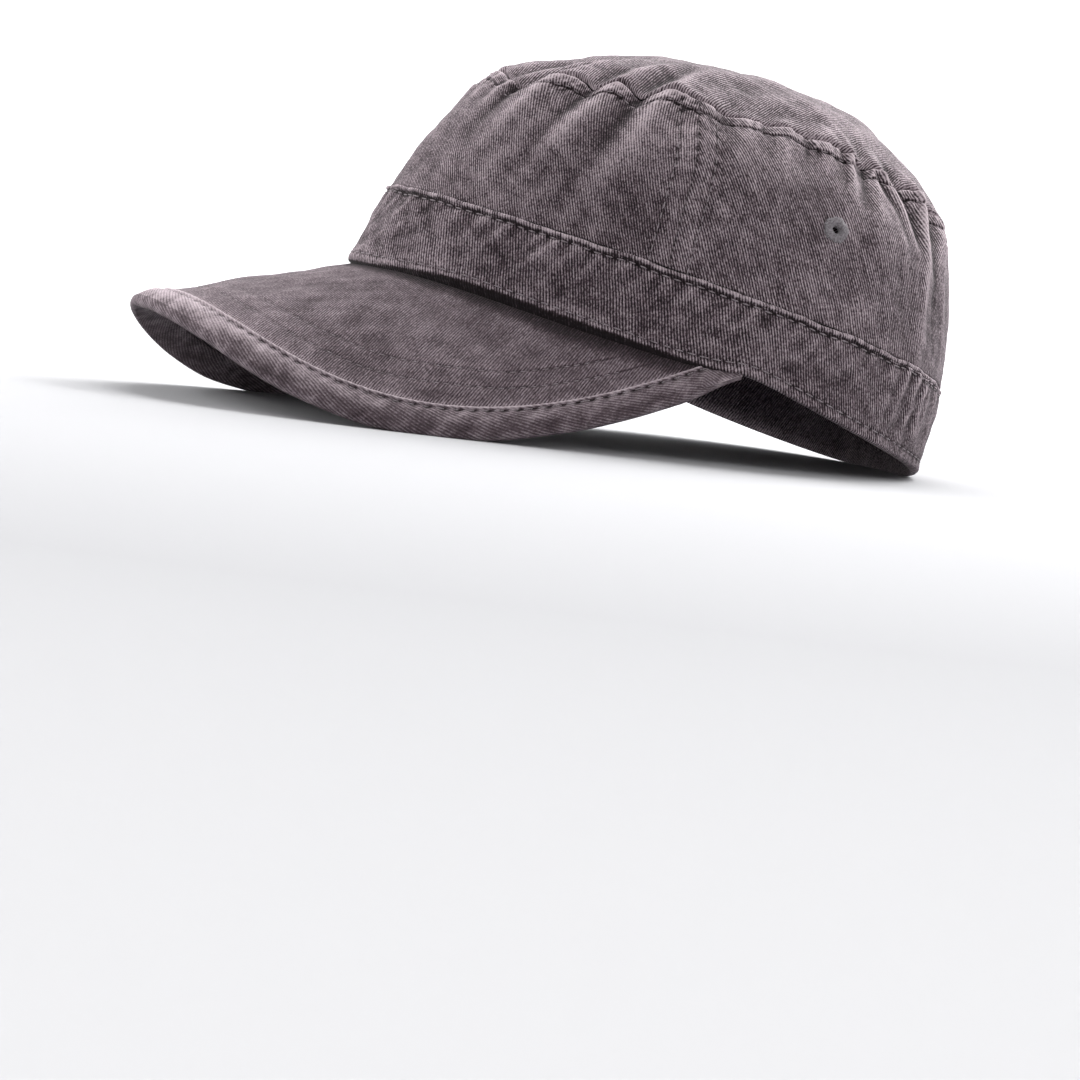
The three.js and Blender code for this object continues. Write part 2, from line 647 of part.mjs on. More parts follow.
// The tilt at which the peak's sides and the band's back come down together
function restTilt(peak, hem) {
  let low = radians(LEAST_TILT);
  let high = radians(MOST_TILT);
  for (let i = 0; i < HALVINGS; i += 1) {
    const middle = (low + high) / 2;
    const peakIsHigher = lowest(peak, middle) > lowest(hem, middle);
    low = peakIsHigher ? middle : low;
    high = peakIsHigher ? high : middle;
  }
  return low;
}

// Settles the pieces on z = 0, where the cloth in contact lies flat
function settle(all) {
  const find = (name) => all.find((piece) => piece.name === name).geometry;
  const tilt = restTilt(find("peak_border"), find("band"));
  const drop = lowest(find("band"), tilt) + REST_FLAT;
  const turn = new THREE.Matrix4().makeRotationX(tilt);
  const extent = new THREE.Box3();
  for (const { geometry } of all) {
    geometry.applyMatrix4(turn).translate(0, 0, -drop);
    const position = geometry.getAttribute("position");
    for (let i = 0; i < position.count; i += 1) {
      position.setZ(i, Math.max(position.getZ(i), 0));
    }
    geometry.computeBoundingBox();
    extent.union(geometry.boundingBox);
  }
  const middle = (extent.min.y + extent.max.y) / 2;
  all.forEach(({ geometry }) => geometry.translate(0, -middle, 0));
}

settle(pieces);

const cap = new THREE.Group();
for (const { name, geometry, material } of pieces) {
  geometry.computeVertexNormals();
  const mesh = new THREE.Mesh(geometry, material);
  mesh.name = name;
  cap.add(mesh);
}

export default cap;
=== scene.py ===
"""A patrol cap in washed charcoal cotton twill, lying on a pale studio floor.

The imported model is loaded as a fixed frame. Each of its plain cloth solids is then replaced
by a finely modelled piece in the same place: folds, gathers, puckered seams, raised welts,
rows of stitches and sewn eyelets. The cap's shape is worked out upright in millimetres, with
the head opening near z = 0 and the peak towards -Y, and then settled onto the floor.
"""
import logging
import math
from dataclasses import dataclass, field
from enum import Enum
from typing import Callable

import bmesh
import bpy
import numpy as np
from mathutils import Matrix, Vector

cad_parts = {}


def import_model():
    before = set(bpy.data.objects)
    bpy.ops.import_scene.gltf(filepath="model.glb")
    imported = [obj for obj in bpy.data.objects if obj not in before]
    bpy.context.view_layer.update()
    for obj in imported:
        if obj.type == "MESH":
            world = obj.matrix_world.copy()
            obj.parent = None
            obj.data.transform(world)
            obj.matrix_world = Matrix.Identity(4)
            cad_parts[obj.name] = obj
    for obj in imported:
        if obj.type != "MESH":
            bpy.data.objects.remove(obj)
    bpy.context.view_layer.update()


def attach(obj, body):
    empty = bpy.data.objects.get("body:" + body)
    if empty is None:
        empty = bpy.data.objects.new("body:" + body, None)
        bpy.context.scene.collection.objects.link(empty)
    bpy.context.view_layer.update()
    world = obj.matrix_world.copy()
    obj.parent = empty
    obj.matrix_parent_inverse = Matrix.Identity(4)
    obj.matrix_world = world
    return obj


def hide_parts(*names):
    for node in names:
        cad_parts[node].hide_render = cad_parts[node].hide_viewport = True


LOG = logging.getLogger("patrol_cap")
MM = 0.001
TINY = 1e-3
LINE_PITCH = 0.85
Array = np.ndarray


class Grain(Enum):
    """Direction of the twill line, in degrees from the cloth's first axis, and its pitch in mm.

    A real line is about 0.6 mm wide. It is drawn a little coarser, so that it shows.
    """

    FRONT = (127.0, 0.72)
    SIDE = (112.0, 0.92)
    BAND = (115.0, 0.88)
    TOP = (136.0, 0.82)
    PEAK = (130.0, 0.82)
    BORDER = (-22.0, 0.9)


@dataclass(frozen=True)
class Stitch:
    """A kind of stitch: its pitch, its length, its thread's thickness and how deep it sinks, in mm."""

    pitch: float
    length: float
    thick: float
    sunk: float


STRIP_STITCH = Stitch(pitch=3.3, length=2.5, thick=0.42, sunk=0.0)
SIDE_STITCH = Stitch(pitch=3.4, length=2.6, thick=0.48, sunk=-0.05)
WELT_STITCH = Stitch(pitch=3.75, length=2.7, thick=0.5, sunk=-0.08)
HEM_STITCH = Stitch(pitch=4.0, length=3.0, thick=0.5, sunk=-0.08)
PEAK_STITCH = Stitch(pitch=3.4, length=2.4, thick=0.36, sunk=0.04)
BORDER_STITCH = Stitch(pitch=4.7, length=3.2, thick=0.45, sunk=0.02)


class Slot(Enum):
    """The record's material slots."""

    TWILL = "twill"
    BORDER = "twill_border"
    THREAD = "eyelet_thread"


def bell(value: Array) -> Array:
    """A smooth hump: 1 at 0, fading to 0 at about 2."""
    return np.exp(-np.square(value))


def ease(value: Array, low: float, high: float) -> Array:
    """A smooth step from 0 at low to 1 at high."""
    share = np.clip((value - low) / (high - low), 0, 1)
    return share * share * (3 - 2 * share)


def lerp(first: Array, last: Array, share: Array) -> Array:
    """The value at a share of the way from first to last."""
    return first + (last - first) * share


def unit(vectors: Array) -> Array:
    """The vectors, each at length 1."""
    return vectors / np.maximum(np.linalg.norm(vectors, axis=-1, keepdims=True), 1e-12)


def wrap(angle: Array) -> Array:
    """Angles in radians, brought between -pi and pi."""
    return np.arctan2(np.sin(angle), np.cos(angle))


def way(points: Array, axis: int) -> Array:
    """How far each point lies along its line of points, from 0 at the first."""
    run = np.cumsum(np.linalg.norm(np.diff(points, axis=axis), axis=-1), axis=axis)
    return np.concatenate([np.zeros_like(np.take(run, [0], axis)), run], axis=axis)


def look_up(wanted: Array | float, known: Array, values: Array) -> Array:
    """Values at the wanted places of each row, in between those of its known places.

    Args:
        wanted: a place or a row of places for each row of known, or one place for all.
        known: rows of places whose value is known, growing along each row.
        values: their values, in rows or the same for every row.

    Returns:
        The values found, a row for each row of known.
    """
    values = np.broadcast_to(values, known.shape)
    if np.ndim(wanted) == 0:
        wanted = np.full(len(known), wanted)
    return np.stack([np.interp(*row) for row in zip(wanted, known, values)])


def smoothed(values: Array) -> Array:
    """The values, each brought to the mean of the nine round it."""
    return np.convolve(np.pad(values, 4, mode="edge"), np.ones(9) / 9, mode="valid")


@dataclass(frozen=True)
class Unevenness:
    """Soft random unevenness in space, as a sum of plain waves from a fixed seed."""

    wavelength: float
    height: float
    seed: int
    waves: int = 18

    def at(self, places: Array) -> Array:
        """How far the unevenness lifts each place.

        Args:
            places: points in millimetres.

        Returns:
            Heights in millimetres.
        """
        draw = np.random.default_rng(self.seed)
        total = np.zeros(places.shape[:-1])
        for _ in range(self.waves):
            heading = unit(draw.normal(size=3))
            length = self.wavelength * draw.uniform(0.65, 1.7)
            phase = draw.uniform(0, 2 * math.pi)
            total += np.cos(2 * math.pi * (places @ heading) / length + phase)
        return self.height * total / math.sqrt(self.waves / 2)


@dataclass(frozen=True)
class Level:
    """The crown's outline at one height, as shares of the head opening's sizes."""

    width: float
    front: float
    back: float
    egg: float
    up: float = 0.0
    front_rise: float = 0.0
    back_rise: float = 0.0


@dataclass(frozen=True)
class CapForm:
    """The cap's main form, upright, in millimetres. Angle 0 is the front, 90 degrees the left."""

    half_width: float = 83.9
    front_reach: float = 112.1
    back_reach: float = 88.6
    back_hem_drop: float = 5.0
    band_height: float = 26.6
    top_seam_height: float = 82.2
    top_height: float = 101.0
    top_back_rise: float = 0.06
    top_fullness: float = 2.5
    peak_length: float = 60.2
    peak_slope: float = 27.8
    peak_side_drop: float = 40.2
    peak_drop_power: float = 2.26
    peak_end: float = math.radians(86.8)
    peak_narrowing: float = 1.2
    peak_below_opening: float = 3.1
    hem_fade: float = 0.35
    side_blend: float = 0.2
    opening: Level = Level(1, 1, 1, 0.2)
    welt: Level = Level(0.999, 0.949, 0.969, 0.2, 0, -0.007, -0.039)
    middle: Level = Level(0.893, 0.85, 0.889, 0.14, 0.637, -0.068, -0.078)
    seam: Level = Level(0.671, 0.763, 0.84, 0.08, 1, -0.129, -0.117)

    def outline(self, level: Level, angle: Array) -> Array:
        """Points in plan round one level."""
        front = np.cos(angle)
        ahead = ease(front, -self.side_blend, self.side_blend)
        reach = lerp(self.back_reach * level.back, self.front_reach * level.front, ahead)
        half = self.half_width * level.width * (1 - level.egg * front)
        return np.stack([half * np.sin(angle), -reach * front], -1)

    def peak_height(self, x: Array, y: Array) -> Array:
        """Height of the peak's upper face over each place in plan."""
        slope = math.tan(math.radians(self.peak_slope))
        drop = self.peak_side_drop * (np.abs(x) / (self.half_width * 0.894)) ** self.peak_drop_power
        return slope * (y + self.front_reach) - self.peak_below_opening - drop

    def hem_height(self, plan: Array, angle: Array) -> Array:
        """Height of the band's lower edge, which lies on the peak in front."""
        past = np.maximum(np.abs(wrap(angle)) - self.peak_end, 0)
        corner = self.outline(self.opening, np.array(self.peak_end))
        own = np.abs(self.outline(self.opening, angle)[..., 0])
        inward = np.minimum(np.abs(plan[..., 0]) - own, 0)
        behind = np.maximum(-np.cos(angle), 0)
        eased = self.peak_height(corner[0] + inward, corner[1]) * bell(past / self.hem_fade)
        on_peak = self.peak_height(plan[..., 0], plan[..., 1])
        return np.where(past <= 0, on_peak, eased - self.back_hem_drop * behind ** 1.2)

    def level_point(self, level: Level, angle: Array) -> Array:
        """Points in space round one level."""
        plan = self.outline(level, angle)
        front = np.maximum(np.cos(angle), 0) ** 2
        back = np.maximum(-np.cos(angle), 0) ** 2
        rise = self.top_seam_height * (level.front_rise * front + level.back_rise * back)
        height = lerp(self.band_height, self.top_seam_height, level.up) + rise
        return np.concatenate([plan, height[..., None]], -1)

    def top(self, angle: Array, share: Array) -> Array:
        """Points of the domed top: share 0 is its middle and 1 its seam."""
        angle, share = np.broadcast_arrays(np.asarray(angle, float), np.asarray(share, float))
        seam = self.level_point(self.seam, angle)
        crest = self.top_height + self.top_back_rise * seam[..., 1] * share
        height = crest - (crest - seam[..., 2]) * share ** self.top_fullness
        return np.stack([seam[..., 0] * share, seam[..., 1] * share, height], -1)

    def wall(self, angle: Array, level: Array) -> Array:
        """Points of the wall: level 0 is the hem, 1 the welt, 2 the middle, 3 the top seam."""
        angle, level = np.broadcast_arrays(np.asarray(angle, float), np.asarray(level, float))
        plan = self.outline(self.opening, angle)
        hem = np.concatenate([plan, self.hem_height(plan, angle)[..., None]], -1)
        welt = self.level_point(self.welt, angle)
        middle = self.level_point(self.middle, angle)
        seam = self.level_point(self.seam, angle)
        above = 2 * self.top(angle, 0.93) - 0.5 * seam - 0.5 * middle
        knots = np.stack([2 * hem - welt, hem, welt, middle, seam, above])
        span = np.clip(np.floor(level), 0, 2).astype(int)
        t = (level - span)[..., None]
        a, b, c, d = (
            np.take_along_axis(knots, (span + step)[None, ..., None], 0)[0] for step in range(4)
        )
        first = (2 * t ** 2 - t - t ** 3) * a + (2 - 5 * t ** 2 + 3 * t ** 3) * b
        return 0.5 * (first + (t + 4 * t ** 2 - 3 * t ** 3) * c + (t ** 3 - t ** 2) * d)

    def peak_plan(self, angle: Array, out: Array) -> Array:
        """Places in plan at a distance out from the head opening."""
        ahead = self.outline(self.opening, angle + TINY) - self.outline(self.opening, angle - TINY)
        ahead = unit(ahead)
        square = np.stack([ahead[..., 1], -ahead[..., 0]], -1)
        return self.outline(self.opening, angle) + square * np.asarray(out)[..., None]

    def peak_reach(self, angle: Array) -> Array:
        """How far the peak stands out in plan."""
        narrowing = np.maximum(np.cos(math.pi / 2 * angle / self.peak_end), 0)
        return self.peak_length * narrowing ** self.peak_narrowing

    def peak_face(self, angle: Array, out: Array) -> Array:
        """Points of the peak's upper face at a distance out in plan."""
        plan = self.peak_plan(angle, out)
        return np.concatenate([plan, self.peak_height(plan[..., 0], plan[..., 1])[..., None]], -1)

    def peak_normal(self, points: Array) -> Array:
        """Directions square to the peak's upper face."""
        x, y = points[..., 0], points[..., 1]
        along_x = (self.peak_height(x + TINY, y) - self.peak_height(x - TINY, y)) / (2 * TINY)
        along_y = (self.peak_height(x, y + TINY) - self.peak_height(x, y - TINY)) / (2 * TINY)
        return unit(np.stack([-along_x, -along_y, np.ones_like(x)], -1))


@dataclass(frozen=True)
class Settling:
    """How the upright cap comes to lie on the floor."""

    tilt: float = math.radians(-13.3413)
    lift: float = 24.295
    shift: float = 43.713

    def turn(self, vectors: Array) -> Array:
        """Directions of the upright cap, turned as it lies."""
        c, s = math.cos(self.tilt), math.sin(self.tilt)
        x, y, z = np.moveaxis(np.asarray(vectors, float), -1, 0)
        return np.stack([x, y * c - z * s, y * s + z * c], -1)

    def place(self, points: Array, on_floor: bool = True) -> Array:
        """Points of the upright cap in millimetres, as places in metres where it lies.

        Args:
            points: points of the upright cap.
            on_floor: whether what would sink into the floor lies flat on it.

        Returns:
            Points in metres in the frame.
        """
        moved = self.turn(points) + np.array([0, self.shift, self.lift])
        if on_floor:
            moved[..., 2] = np.maximum(moved[..., 2], 0)
        return moved * MM


FORM = CapForm()
SETTLED = Settling()


def slopes(
    surface: Callable[[Array, Array], Array], first: Array, second: Array,
) -> tuple[Array, Array]:
    """A surface's two directions at each place, as change for each unit.

    Args:
        surface: gives points from its two parameters.
        first: first parameter.
        second: second parameter.

    Returns:
        The change along the first and along the second parameter.
    """
    along_first = (surface(first + TINY, second) - surface(first - TINY, second)) / (2 * TINY)
    along_second = (surface(first, second + TINY) - surface(first, second - TINY)) / (2 * TINY)
    return along_first, along_second


@dataclass
class Net:
    """Points laid in columns and rows over one face of a piece, with the cloth's own places."""

    points: Array
    cloth: Array
    # shade is painted shade where below 0 and painted light where above 0; the field after it weights
    # how far bends show, as worn paleness on edges and painted shade in hollows
    shade: Array | float = 0.0
    bend_weight: Array | float = 1.0

    def normals(self) -> Array:
        """Directions square to the net at each point."""
        across = np.gradient(self.points, axis=0)
        along = np.gradient(self.points, axis=1)
        return unit(np.cross(across, along))

    def wear(self) -> Array:
        """Worn paleness and painted shade of each place: above 0 on raised edges, which are worn
        paler, below 0 in hollows, which get painted shade, with the net's own painted light and shade
        added.
        """
        total = np.zeros(self.points.shape[:2])
        normals = self.normals()
        for reach, weight in ((2, 0.5), (5, 0.7), (12, 0.5)):
            for axis in (0, 1):
                count = self.points.shape[axis]
                here = np.arange(count)
                before = np.take(self.points, np.maximum(here - reach, 0), axis)
                after = np.take(self.points, np.minimum(here + reach, count - 1), axis)
                step = np.linalg.norm(after - before, axis=-1) / 2
                bend = self.points - (before + after) / 2
                total += weight * (bend * normals).sum(-1) / np.maximum(step, 0.1)
        return np.clip(total * self.bend_weight + self.shade, -1, 1)

    def line(self, first: Array, second: Array) -> tuple[Array, Array]:
        """Places and directions along a line over the net.

        Args:
            first: column of each place, with parts of a column.
            second: row of each place, with parts of a row.

        Returns:
            Points and the directions square to the net there.
        """
        normals = self.normals()
        columns, rows = self.points.shape[:2]
        i = np.clip(np.floor(first).astype(int), 0, columns - 2)
        j = np.clip(np.floor(second).astype(int), 0, rows - 2)
        u = (first - i)[:, None]
        v = (second - j)[:, None]
        found = []
        for values in (self.points, normals):
            low = lerp(values[i, j], values[i + 1, j], u)
            high = lerp(values[i, j + 1], values[i + 1, j + 1], u)
            found.append(lerp(low, high, v))
        return found[0], unit(found[1])


def turned_cloth(first: Array, second: Array, grain: Grain) -> Array:
    """The cloth's own places, turned so that its twill lines run along the second axis.

    Args:
        first: millimetres along the first axis of the flat cloth.
        second: millimetres along the second axis.
        grain: the direction of the twill line.

    Returns:
        Pairs of millimetres, across and along the twill line.
    """
    heading = math.radians(grain.value[0])
    across = (first * math.sin(heading) - second * math.cos(heading)) / grain.value[1] * LINE_PITCH
    along = first * math.cos(heading) + second * math.sin(heading)
    return np.stack([across, along], -1)


def quads(columns: int, rows: int) -> Array:
    """The four-sided faces of a net, each from its lower first corner round."""
    i, j = np.meshgrid(np.arange(columns - 1), np.arange(rows - 1), indexing="ij")
    first = (i * rows + j).ravel()
    return np.stack([first, first + rows, first + rows + 1, first + 1], -1)


def add_object(name: str, data: bpy.types.ID) -> bpy.types.Object:
    """A new object, in the scene."""
    made = bpy.data.objects.new(name, data)
    bpy.context.scene.collection.objects.link(made)
    return made


def mesh_object(
    name: str, points: Array, faces: Array, cloth: Array, wear: Array,
) -> bpy.types.Object:
    """A smooth mesh object, with its cloth places as a UV map and its wear and painted shade as an
    attribute.

    Args:
        name: name of the object.
        points: places of the corners in the frame, in metres. Equal ones are welded.
        faces: four corners for each face. A face whose corners meet is made a triangle.
        cloth: place of each corner on the flat cloth, in millimetres.
        wear: the wear and painted shade of each corner.

    Returns:
        The new object, in the scene.
    """
    keys = np.round(points * 1e7).astype(np.int64)
    _, first, welded = np.unique(keys, axis=0, return_index=True, return_inverse=True)
    welded = welded.reshape(-1)
    corners = welded[faces]
    kept = []
    for k in range(4):
        kept.append(corners[:, k] != corners[:, (k + 1) % 4])
    keep = np.stack(kept, -1)
    sides = keep.sum(-1)
    whole = sides == 4
    bent = sides == 3
    polygons = corners[whole].tolist()
    loops = [faces[whole].ravel()]
    for face, mask in zip(faces[bent], keep[bent]):
        polygons.append(welded[face[mask]].tolist())
        loops.append(face[mask])
    mesh = bpy.data.meshes.new(name)
    mesh.from_pydata(points[first].tolist(), [], polygons)
    uv = mesh.uv_layers.new(name="cloth")
    uv.data.foreach_set("uv", (cloth[np.concatenate(loops)] * MM).astype(np.float32).ravel())
    attribute = mesh.attributes.new("wear", "FLOAT", "POINT")
    attribute.data.foreach_set("value", wear[first].astype(np.float32))
    mesh.shade_smooth()
    mesh.update()
    return add_object(name, mesh)


def shell(name: str, outer: Net, inner: Net, gone: Array | None = None) -> bpy.types.Object:
    """A cloth wall between an outer net and an inner net of the same columns and rows.

    Args:
        name: name of the object.
        outer: the face that points outwards.
        inner: the lining side.
        gone: faces of the net that are left out as a hole, as a mask.

    Returns:
        The closed object.
    """
    columns, rows = outer.points.shape[:2]
    faces = quads(columns, rows)
    if gone is not None:
        faces = faces[~gone.ravel()]
    points = np.concatenate([outer.points.reshape(-1, 3), inner.points.reshape(-1, 3)])
    placed = SETTLED.place(points)
    count = columns * rows
    keys = np.round(placed * 1e7).astype(np.int64)
    _, welded = np.unique(keys[:count], axis=0, return_inverse=True)
    welded = welded.reshape(-1)
    starts = faces.ravel()
    ends = np.roll(faces, -1, axis=1).ravel()
    real = welded[starts] != welded[ends]
    starts, ends = starts[real], ends[real]
    forward = welded[starts] * count + welded[ends]
    backward = welded[ends] * count + welded[starts]
    free = ~np.isin(backward, forward)
    rim = np.stack([ends[free], starts[free], starts[free] + count, ends[free] + count], -1)
    every = np.concatenate([faces, faces[:, ::-1] + count, rim])
    cloth = np.concatenate([outer.cloth.reshape(-1, 2), inner.cloth.reshape(-1, 2)])
    wear = np.concatenate([outer.wear().ravel(), np.zeros(count)])
    return mesh_object(name, placed, every, cloth, wear)


def ring_body(name: str, section: Net, closed_ends: bool) -> bpy.types.Object:
    """A body whose section closes on itself in each column.

    Args:
        name: name of the object.
        section: the net, whose last row repeats its first.
        closed_ends: whether the first and the last column are closed with a face.

    Returns:
        The closed object.
    """
    columns, rows = section.points.shape[:2]
    placed = SETTLED.place(section.points.reshape(-1, 3))
    faces = quads(columns, rows)
    piece = mesh_object(name, placed, faces, section.cloth.reshape(-1, 2), section.wear().ravel())
    if closed_ends:
        face_outwards(piece, fill=True)
    return piece


def face_outwards(piece: bpy.types.Object, fill: bool = False) -> None:
    """Turns every face of a mesh outwards.

    Args:
        piece: the object, which is closed once it is filled.
        fill: whether its open edges are first filled with faces.
    """
    edit = bmesh.new()
    edit.from_mesh(piece.data)
    if fill:
        bmesh.ops.holes_fill(edit, edges=[edge for edge in edit.edges if edge.is_boundary], sides=0)
    bmesh.ops.recalc_face_normals(edit, faces=edit.faces)
    edit.to_mesh(piece.data)
    edit.free()


@dataclass(frozen=True)
class Fold:
    """One soft ridge or dent of the crown, running down from the top seam.

    top and foot are its angles in degrees at the top seam and at the band, width is in
    degrees, out in millimetres, and reach the share of the height over which it fades.
    """

    top: float
    foot: float
    width: float
    out: float
    reach: float


@dataclass(frozen=True)
class Scallop:
    """A place on the gathered top seam: its angle in degrees and its rise in millimetres."""

    at: float
    rise: float


FOLDS = (
    Fold(top=3, foot=-2, width=3.6, out=0.9, reach=0.9),
    Fold(top=9, foot=3, width=3.0, out=-0.9, reach=0.6),
    Fold(top=13.5, foot=7, width=3.0, out=0.9, reach=0.9),
    Fold(top=18.5, foot=12.5, width=3.2, out=-1.9, reach=0.9),
    Fold(top=28.5, foot=20.5, width=3.4, out=1.7, reach=1.1),
    Fold(top=39.5, foot=32, width=3.2, out=-1.6, reach=1.1),
    Fold(top=44.5, foot=35.5, width=3.2, out=1.5, reach=1.2),
    Fold(top=52, foot=45.5, width=3.2, out=-1.8, reach=1.1),
    Fold(top=57, foot=50, width=3.4, out=1.6, reach=1.2),
    Fold(top=63, foot=60, width=3.0, out=-0.4, reach=0.5),
    Fold(top=71.5, foot=73, width=2.6, out=-0.9, reach=0.5),
    Fold(top=76, foot=76, width=3.4, out=0.6, reach=0.6),
    Fold(top=80.5, foot=80, width=2.4, out=-0.8, reach=0.4),
    Fold(top=84, foot=83, width=2.6, out=0.8, reach=0.7),
    Fold(top=89, foot=88, width=2.2, out=-0.6, reach=0.5),
    Fold(top=94, foot=93, width=2.8, out=0.6, reach=0.5),
    Fold(top=98.8, foot=98.5, width=1.5, out=-0.8, reach=0.5),
    Fold(top=101.3, foot=101, width=1.4, out=1.2, reach=0.55),
    Fold(top=105, foot=104.5, width=2.2, out=-1.3, reach=0.6),
    Fold(top=109, foot=109, width=2.0, out=0.9, reach=0.7),
    Fold(top=108, foot=130, width=1.8, out=-0.7, reach=0.8),
    Fold(top=111, foot=135, width=1.7, out=1.5, reach=0.75),
    Fold(top=118, foot=133, width=2.6, out=-2.2, reach=0.75),
    Fold(top=126.5, foot=127.5, width=2.2, out=2.5, reach=1.3),
    Fold(top=135, foot=134, width=2.8, out=-1.9, reach=1.2),
    Fold(top=141.5, foot=140.5, width=2.6, out=1.1, reach=1.0),
    Fold(top=147, foot=146, width=3.0, out=-0.9, reach=0.8),
    Fold(top=153, foot=151, width=3.4, out=0.8, reach=0.8),
    Fold(top=160, foot=160, width=3.0, out=-0.8, reach=0.7),
    Fold(top=167, foot=167, width=3.4, out=0.7, reach=0.7),
    Fold(top=175, foot=174, width=3.0, out=-0.7, reach=0.7),
)

SCALLOPS = (
    Scallop(at=0, rise=0.8), Scallop(at=5, rise=-0.4), Scallop(at=11, rise=-2.6),
    Scallop(at=17.5, rise=-4.6), Scallop(at=20, rise=-4.2), Scallop(at=26, rise=-0.6),
    Scallop(at=32.5, rise=2.0), Scallop(at=36.5, rise=0.8), Scallop(at=40, rise=-1.8),
    Scallop(at=41.5, rise=0.2), Scallop(at=45, rise=2.2), Scallop(at=48.5, rise=0.4),
    Scallop(at=52.5, rise=-3.2), Scallop(at=54.5, rise=-0.6), Scallop(at=58, rise=2.3),
    Scallop(at=62, rise=1.9), Scallop(at=67, rise=0.4), Scallop(at=70.5, rise=-1.5),
    Scallop(at=75, rise=-1.0), Scallop(at=80, rise=-0.7), Scallop(at=84, rise=1.0),
    Scallop(at=88.5, rise=-0.2), Scallop(at=93, rise=0.4), Scallop(at=98, rise=0.9),
    Scallop(at=101, rise=0.6), Scallop(at=104.5, rise=-2.2), Scallop(at=108.5, rise=0.1),
    Scallop(at=112.5, rise=-0.9), Scallop(at=117.5, rise=-1.4), Scallop(at=122, rise=0.8),
    Scallop(at=126.5, rise=0.5), Scallop(at=131, rise=-1.0), Scallop(at=137, rise=0.6),
    Scallop(at=143, rise=-1.0), Scallop(at=150, rise=0.7), Scallop(at=157, rise=-0.9),
    Scallop(at=165, rise=0.6), Scallop(at=172, rise=-0.9), Scallop(at=180, rise=0.3),
)


@dataclass(frozen=True)
class Crease:
    """One soft crease: its angle, lean and width in degrees, and its height in millimetres."""

    at: float
    lean: float
    width: float
    out: float


TOP_CREASES = (
    Crease(at=38, lean=14, width=7, out=0.8), Crease(at=55, lean=12, width=6, out=1.0),
    Crease(at=75, lean=-8, width=8, out=-0.6), Crease(at=98, lean=-10, width=7, out=0.8),
    Crease(at=120, lean=-6, width=8, out=-0.7), Crease(at=150, lean=8, width=9, out=0.7),
    Crease(at=-40, lean=-10, width=8, out=0.8), Crease(at=-75, lean=10, width=8, out=-0.7),
    Crease(at=-105, lean=8, width=8, out=0.8), Crease(at=-140, lean=-8, width=9, out=-0.6),
    Crease(at=10, lean=6, width=7, out=-0.7), Crease(at=-12, lean=-6, width=7, out=0.6),
)

BAND_CREASES = (
    Crease(at=119, lean=1, width=1.6, out=0.5), Crease(at=124.5, lean=-2, width=1.3, out=0.9),
    Crease(at=128.5, lean=1, width=1.2, out=0.8), Crease(at=132.5, lean=2, width=1.2, out=1.0),
    Crease(at=137, lean=-1, width=1.5, out=0.7), Crease(at=143, lean=2, width=1.8, out=0.8),
    Crease(at=151, lean=0, width=1.8, out=0.6), Crease(at=160, lean=1, width=2.2, out=0.7),
    Crease(at=171, lean=-1, width=2.4, out=0.6), Crease(at=-122, lean=1, width=1.6, out=0.7),
    Crease(at=-129, lean=-1, width=1.5, out=0.9), Crease(at=-137, lean=1, width=1.7, out=0.7),
    Crease(at=-146, lean=1, width=1.8, out=0.6), Crease(at=-158, lean=0, width=2.2, out=0.6),
    Crease(at=-170, lean=0, width=2.2, out=0.5),
)


@dataclass
class Gathers:
    """The folds and scallops of the crown, on the wearer's left and, a little on, the right."""

    right_shift: float = 3.0
    right_loss: float = 0.15
    fullness: float = 1.3
    crest_round: float = 0.05
    crisp_power: float = 1.25

    def place(self, angle: Array) -> tuple[Array, Array]:
        """Degrees from the front, and the share to which a place is on the right."""
        turned = wrap(angle)
        right = np.where(turned < 0, np.abs(np.sin(turned)), 0)
        return np.abs(np.degrees(turned)) - self.right_shift * right, right

    def out(self, angle: Array, up: Array) -> Array:
        """How far the folds stand out; up is 0 at the band and 1 at the top seam."""
        place, right = self.place(angle)
        total = np.zeros(np.broadcast(place, up).shape)
        for fold in FOLDS:
            strength = ease(up, 1 - fold.reach, 1)
            away = (place - lerp(fold.foot, fold.top, up)) / fold.width
            away = np.sqrt(np.square(away) + self.crest_round) - math.sqrt(self.crest_round)
            total += fold.out * strength * np.exp(-(away ** self.crisp_power))
        return self.fullness * total * (1 - self.right_loss * right)

    def rise(self, angle: Array) -> Array:
        """How far the top seam rises or sinks along the wall."""
        place, right = self.place(angle)
        at = np.array([scallop.at for scallop in SCALLOPS], float)
        rise = np.array([scallop.rise for scallop in SCALLOPS], float)
        fine = np.linspace(0, 180, 1441)
        curve = np.interp(fine, at, rise)
        soft = np.exp(-np.square(np.linspace(-2, 2, 21)))
        padded = np.pad(curve, 10, mode="reflect")
        curve = np.convolve(padded, soft / soft.sum(), mode="valid")
        return np.interp(place, fine, curve) * (1 - self.right_loss * right)


@dataclass(frozen=True)
class Puckers:
    """Short slanting wrinkles that a row of stitches draws up, hanging down from it.

    Each range is a least and a most value, in millimetres; lean is mm aside for each mm down.
    """

    out: float
    seed: int
    width: tuple[float, float] = (1.5, 2.6)
    long: tuple[float, float] = (5, 12)
    lean: tuple[float, float] = (0.25, 0.7)
    apart: tuple[float, float] = (5.5, 9.5)

    def at(self, around: Array, below: Array, length: float) -> Array:
        """How far the wrinkles stand out.

        Args:
            around: millimetres along the row, from 0 to its length.
            below: millimetres down from the row.
            length: the row's whole length.

        Returns:
            Heights in millimetres.
        """
        draw = np.random.default_rng(self.seed)
        total = np.zeros(np.broadcast(around, below).shape)
        at = draw.uniform(0, 5)
        while at < length:
            width = draw.uniform(*self.width)
            long = draw.uniform(*self.long)
            lean = draw.uniform(*self.lean)
            out = self.out * draw.uniform(0.35, 1.25)
            away = (around - at + lean * below + length / 2) % length - length / 2
            total += out * bell(away / width) * np.exp(-np.maximum(below, 0) / long)
            at += draw.uniform(*self.apart)
        return total - 0.3 * self.out


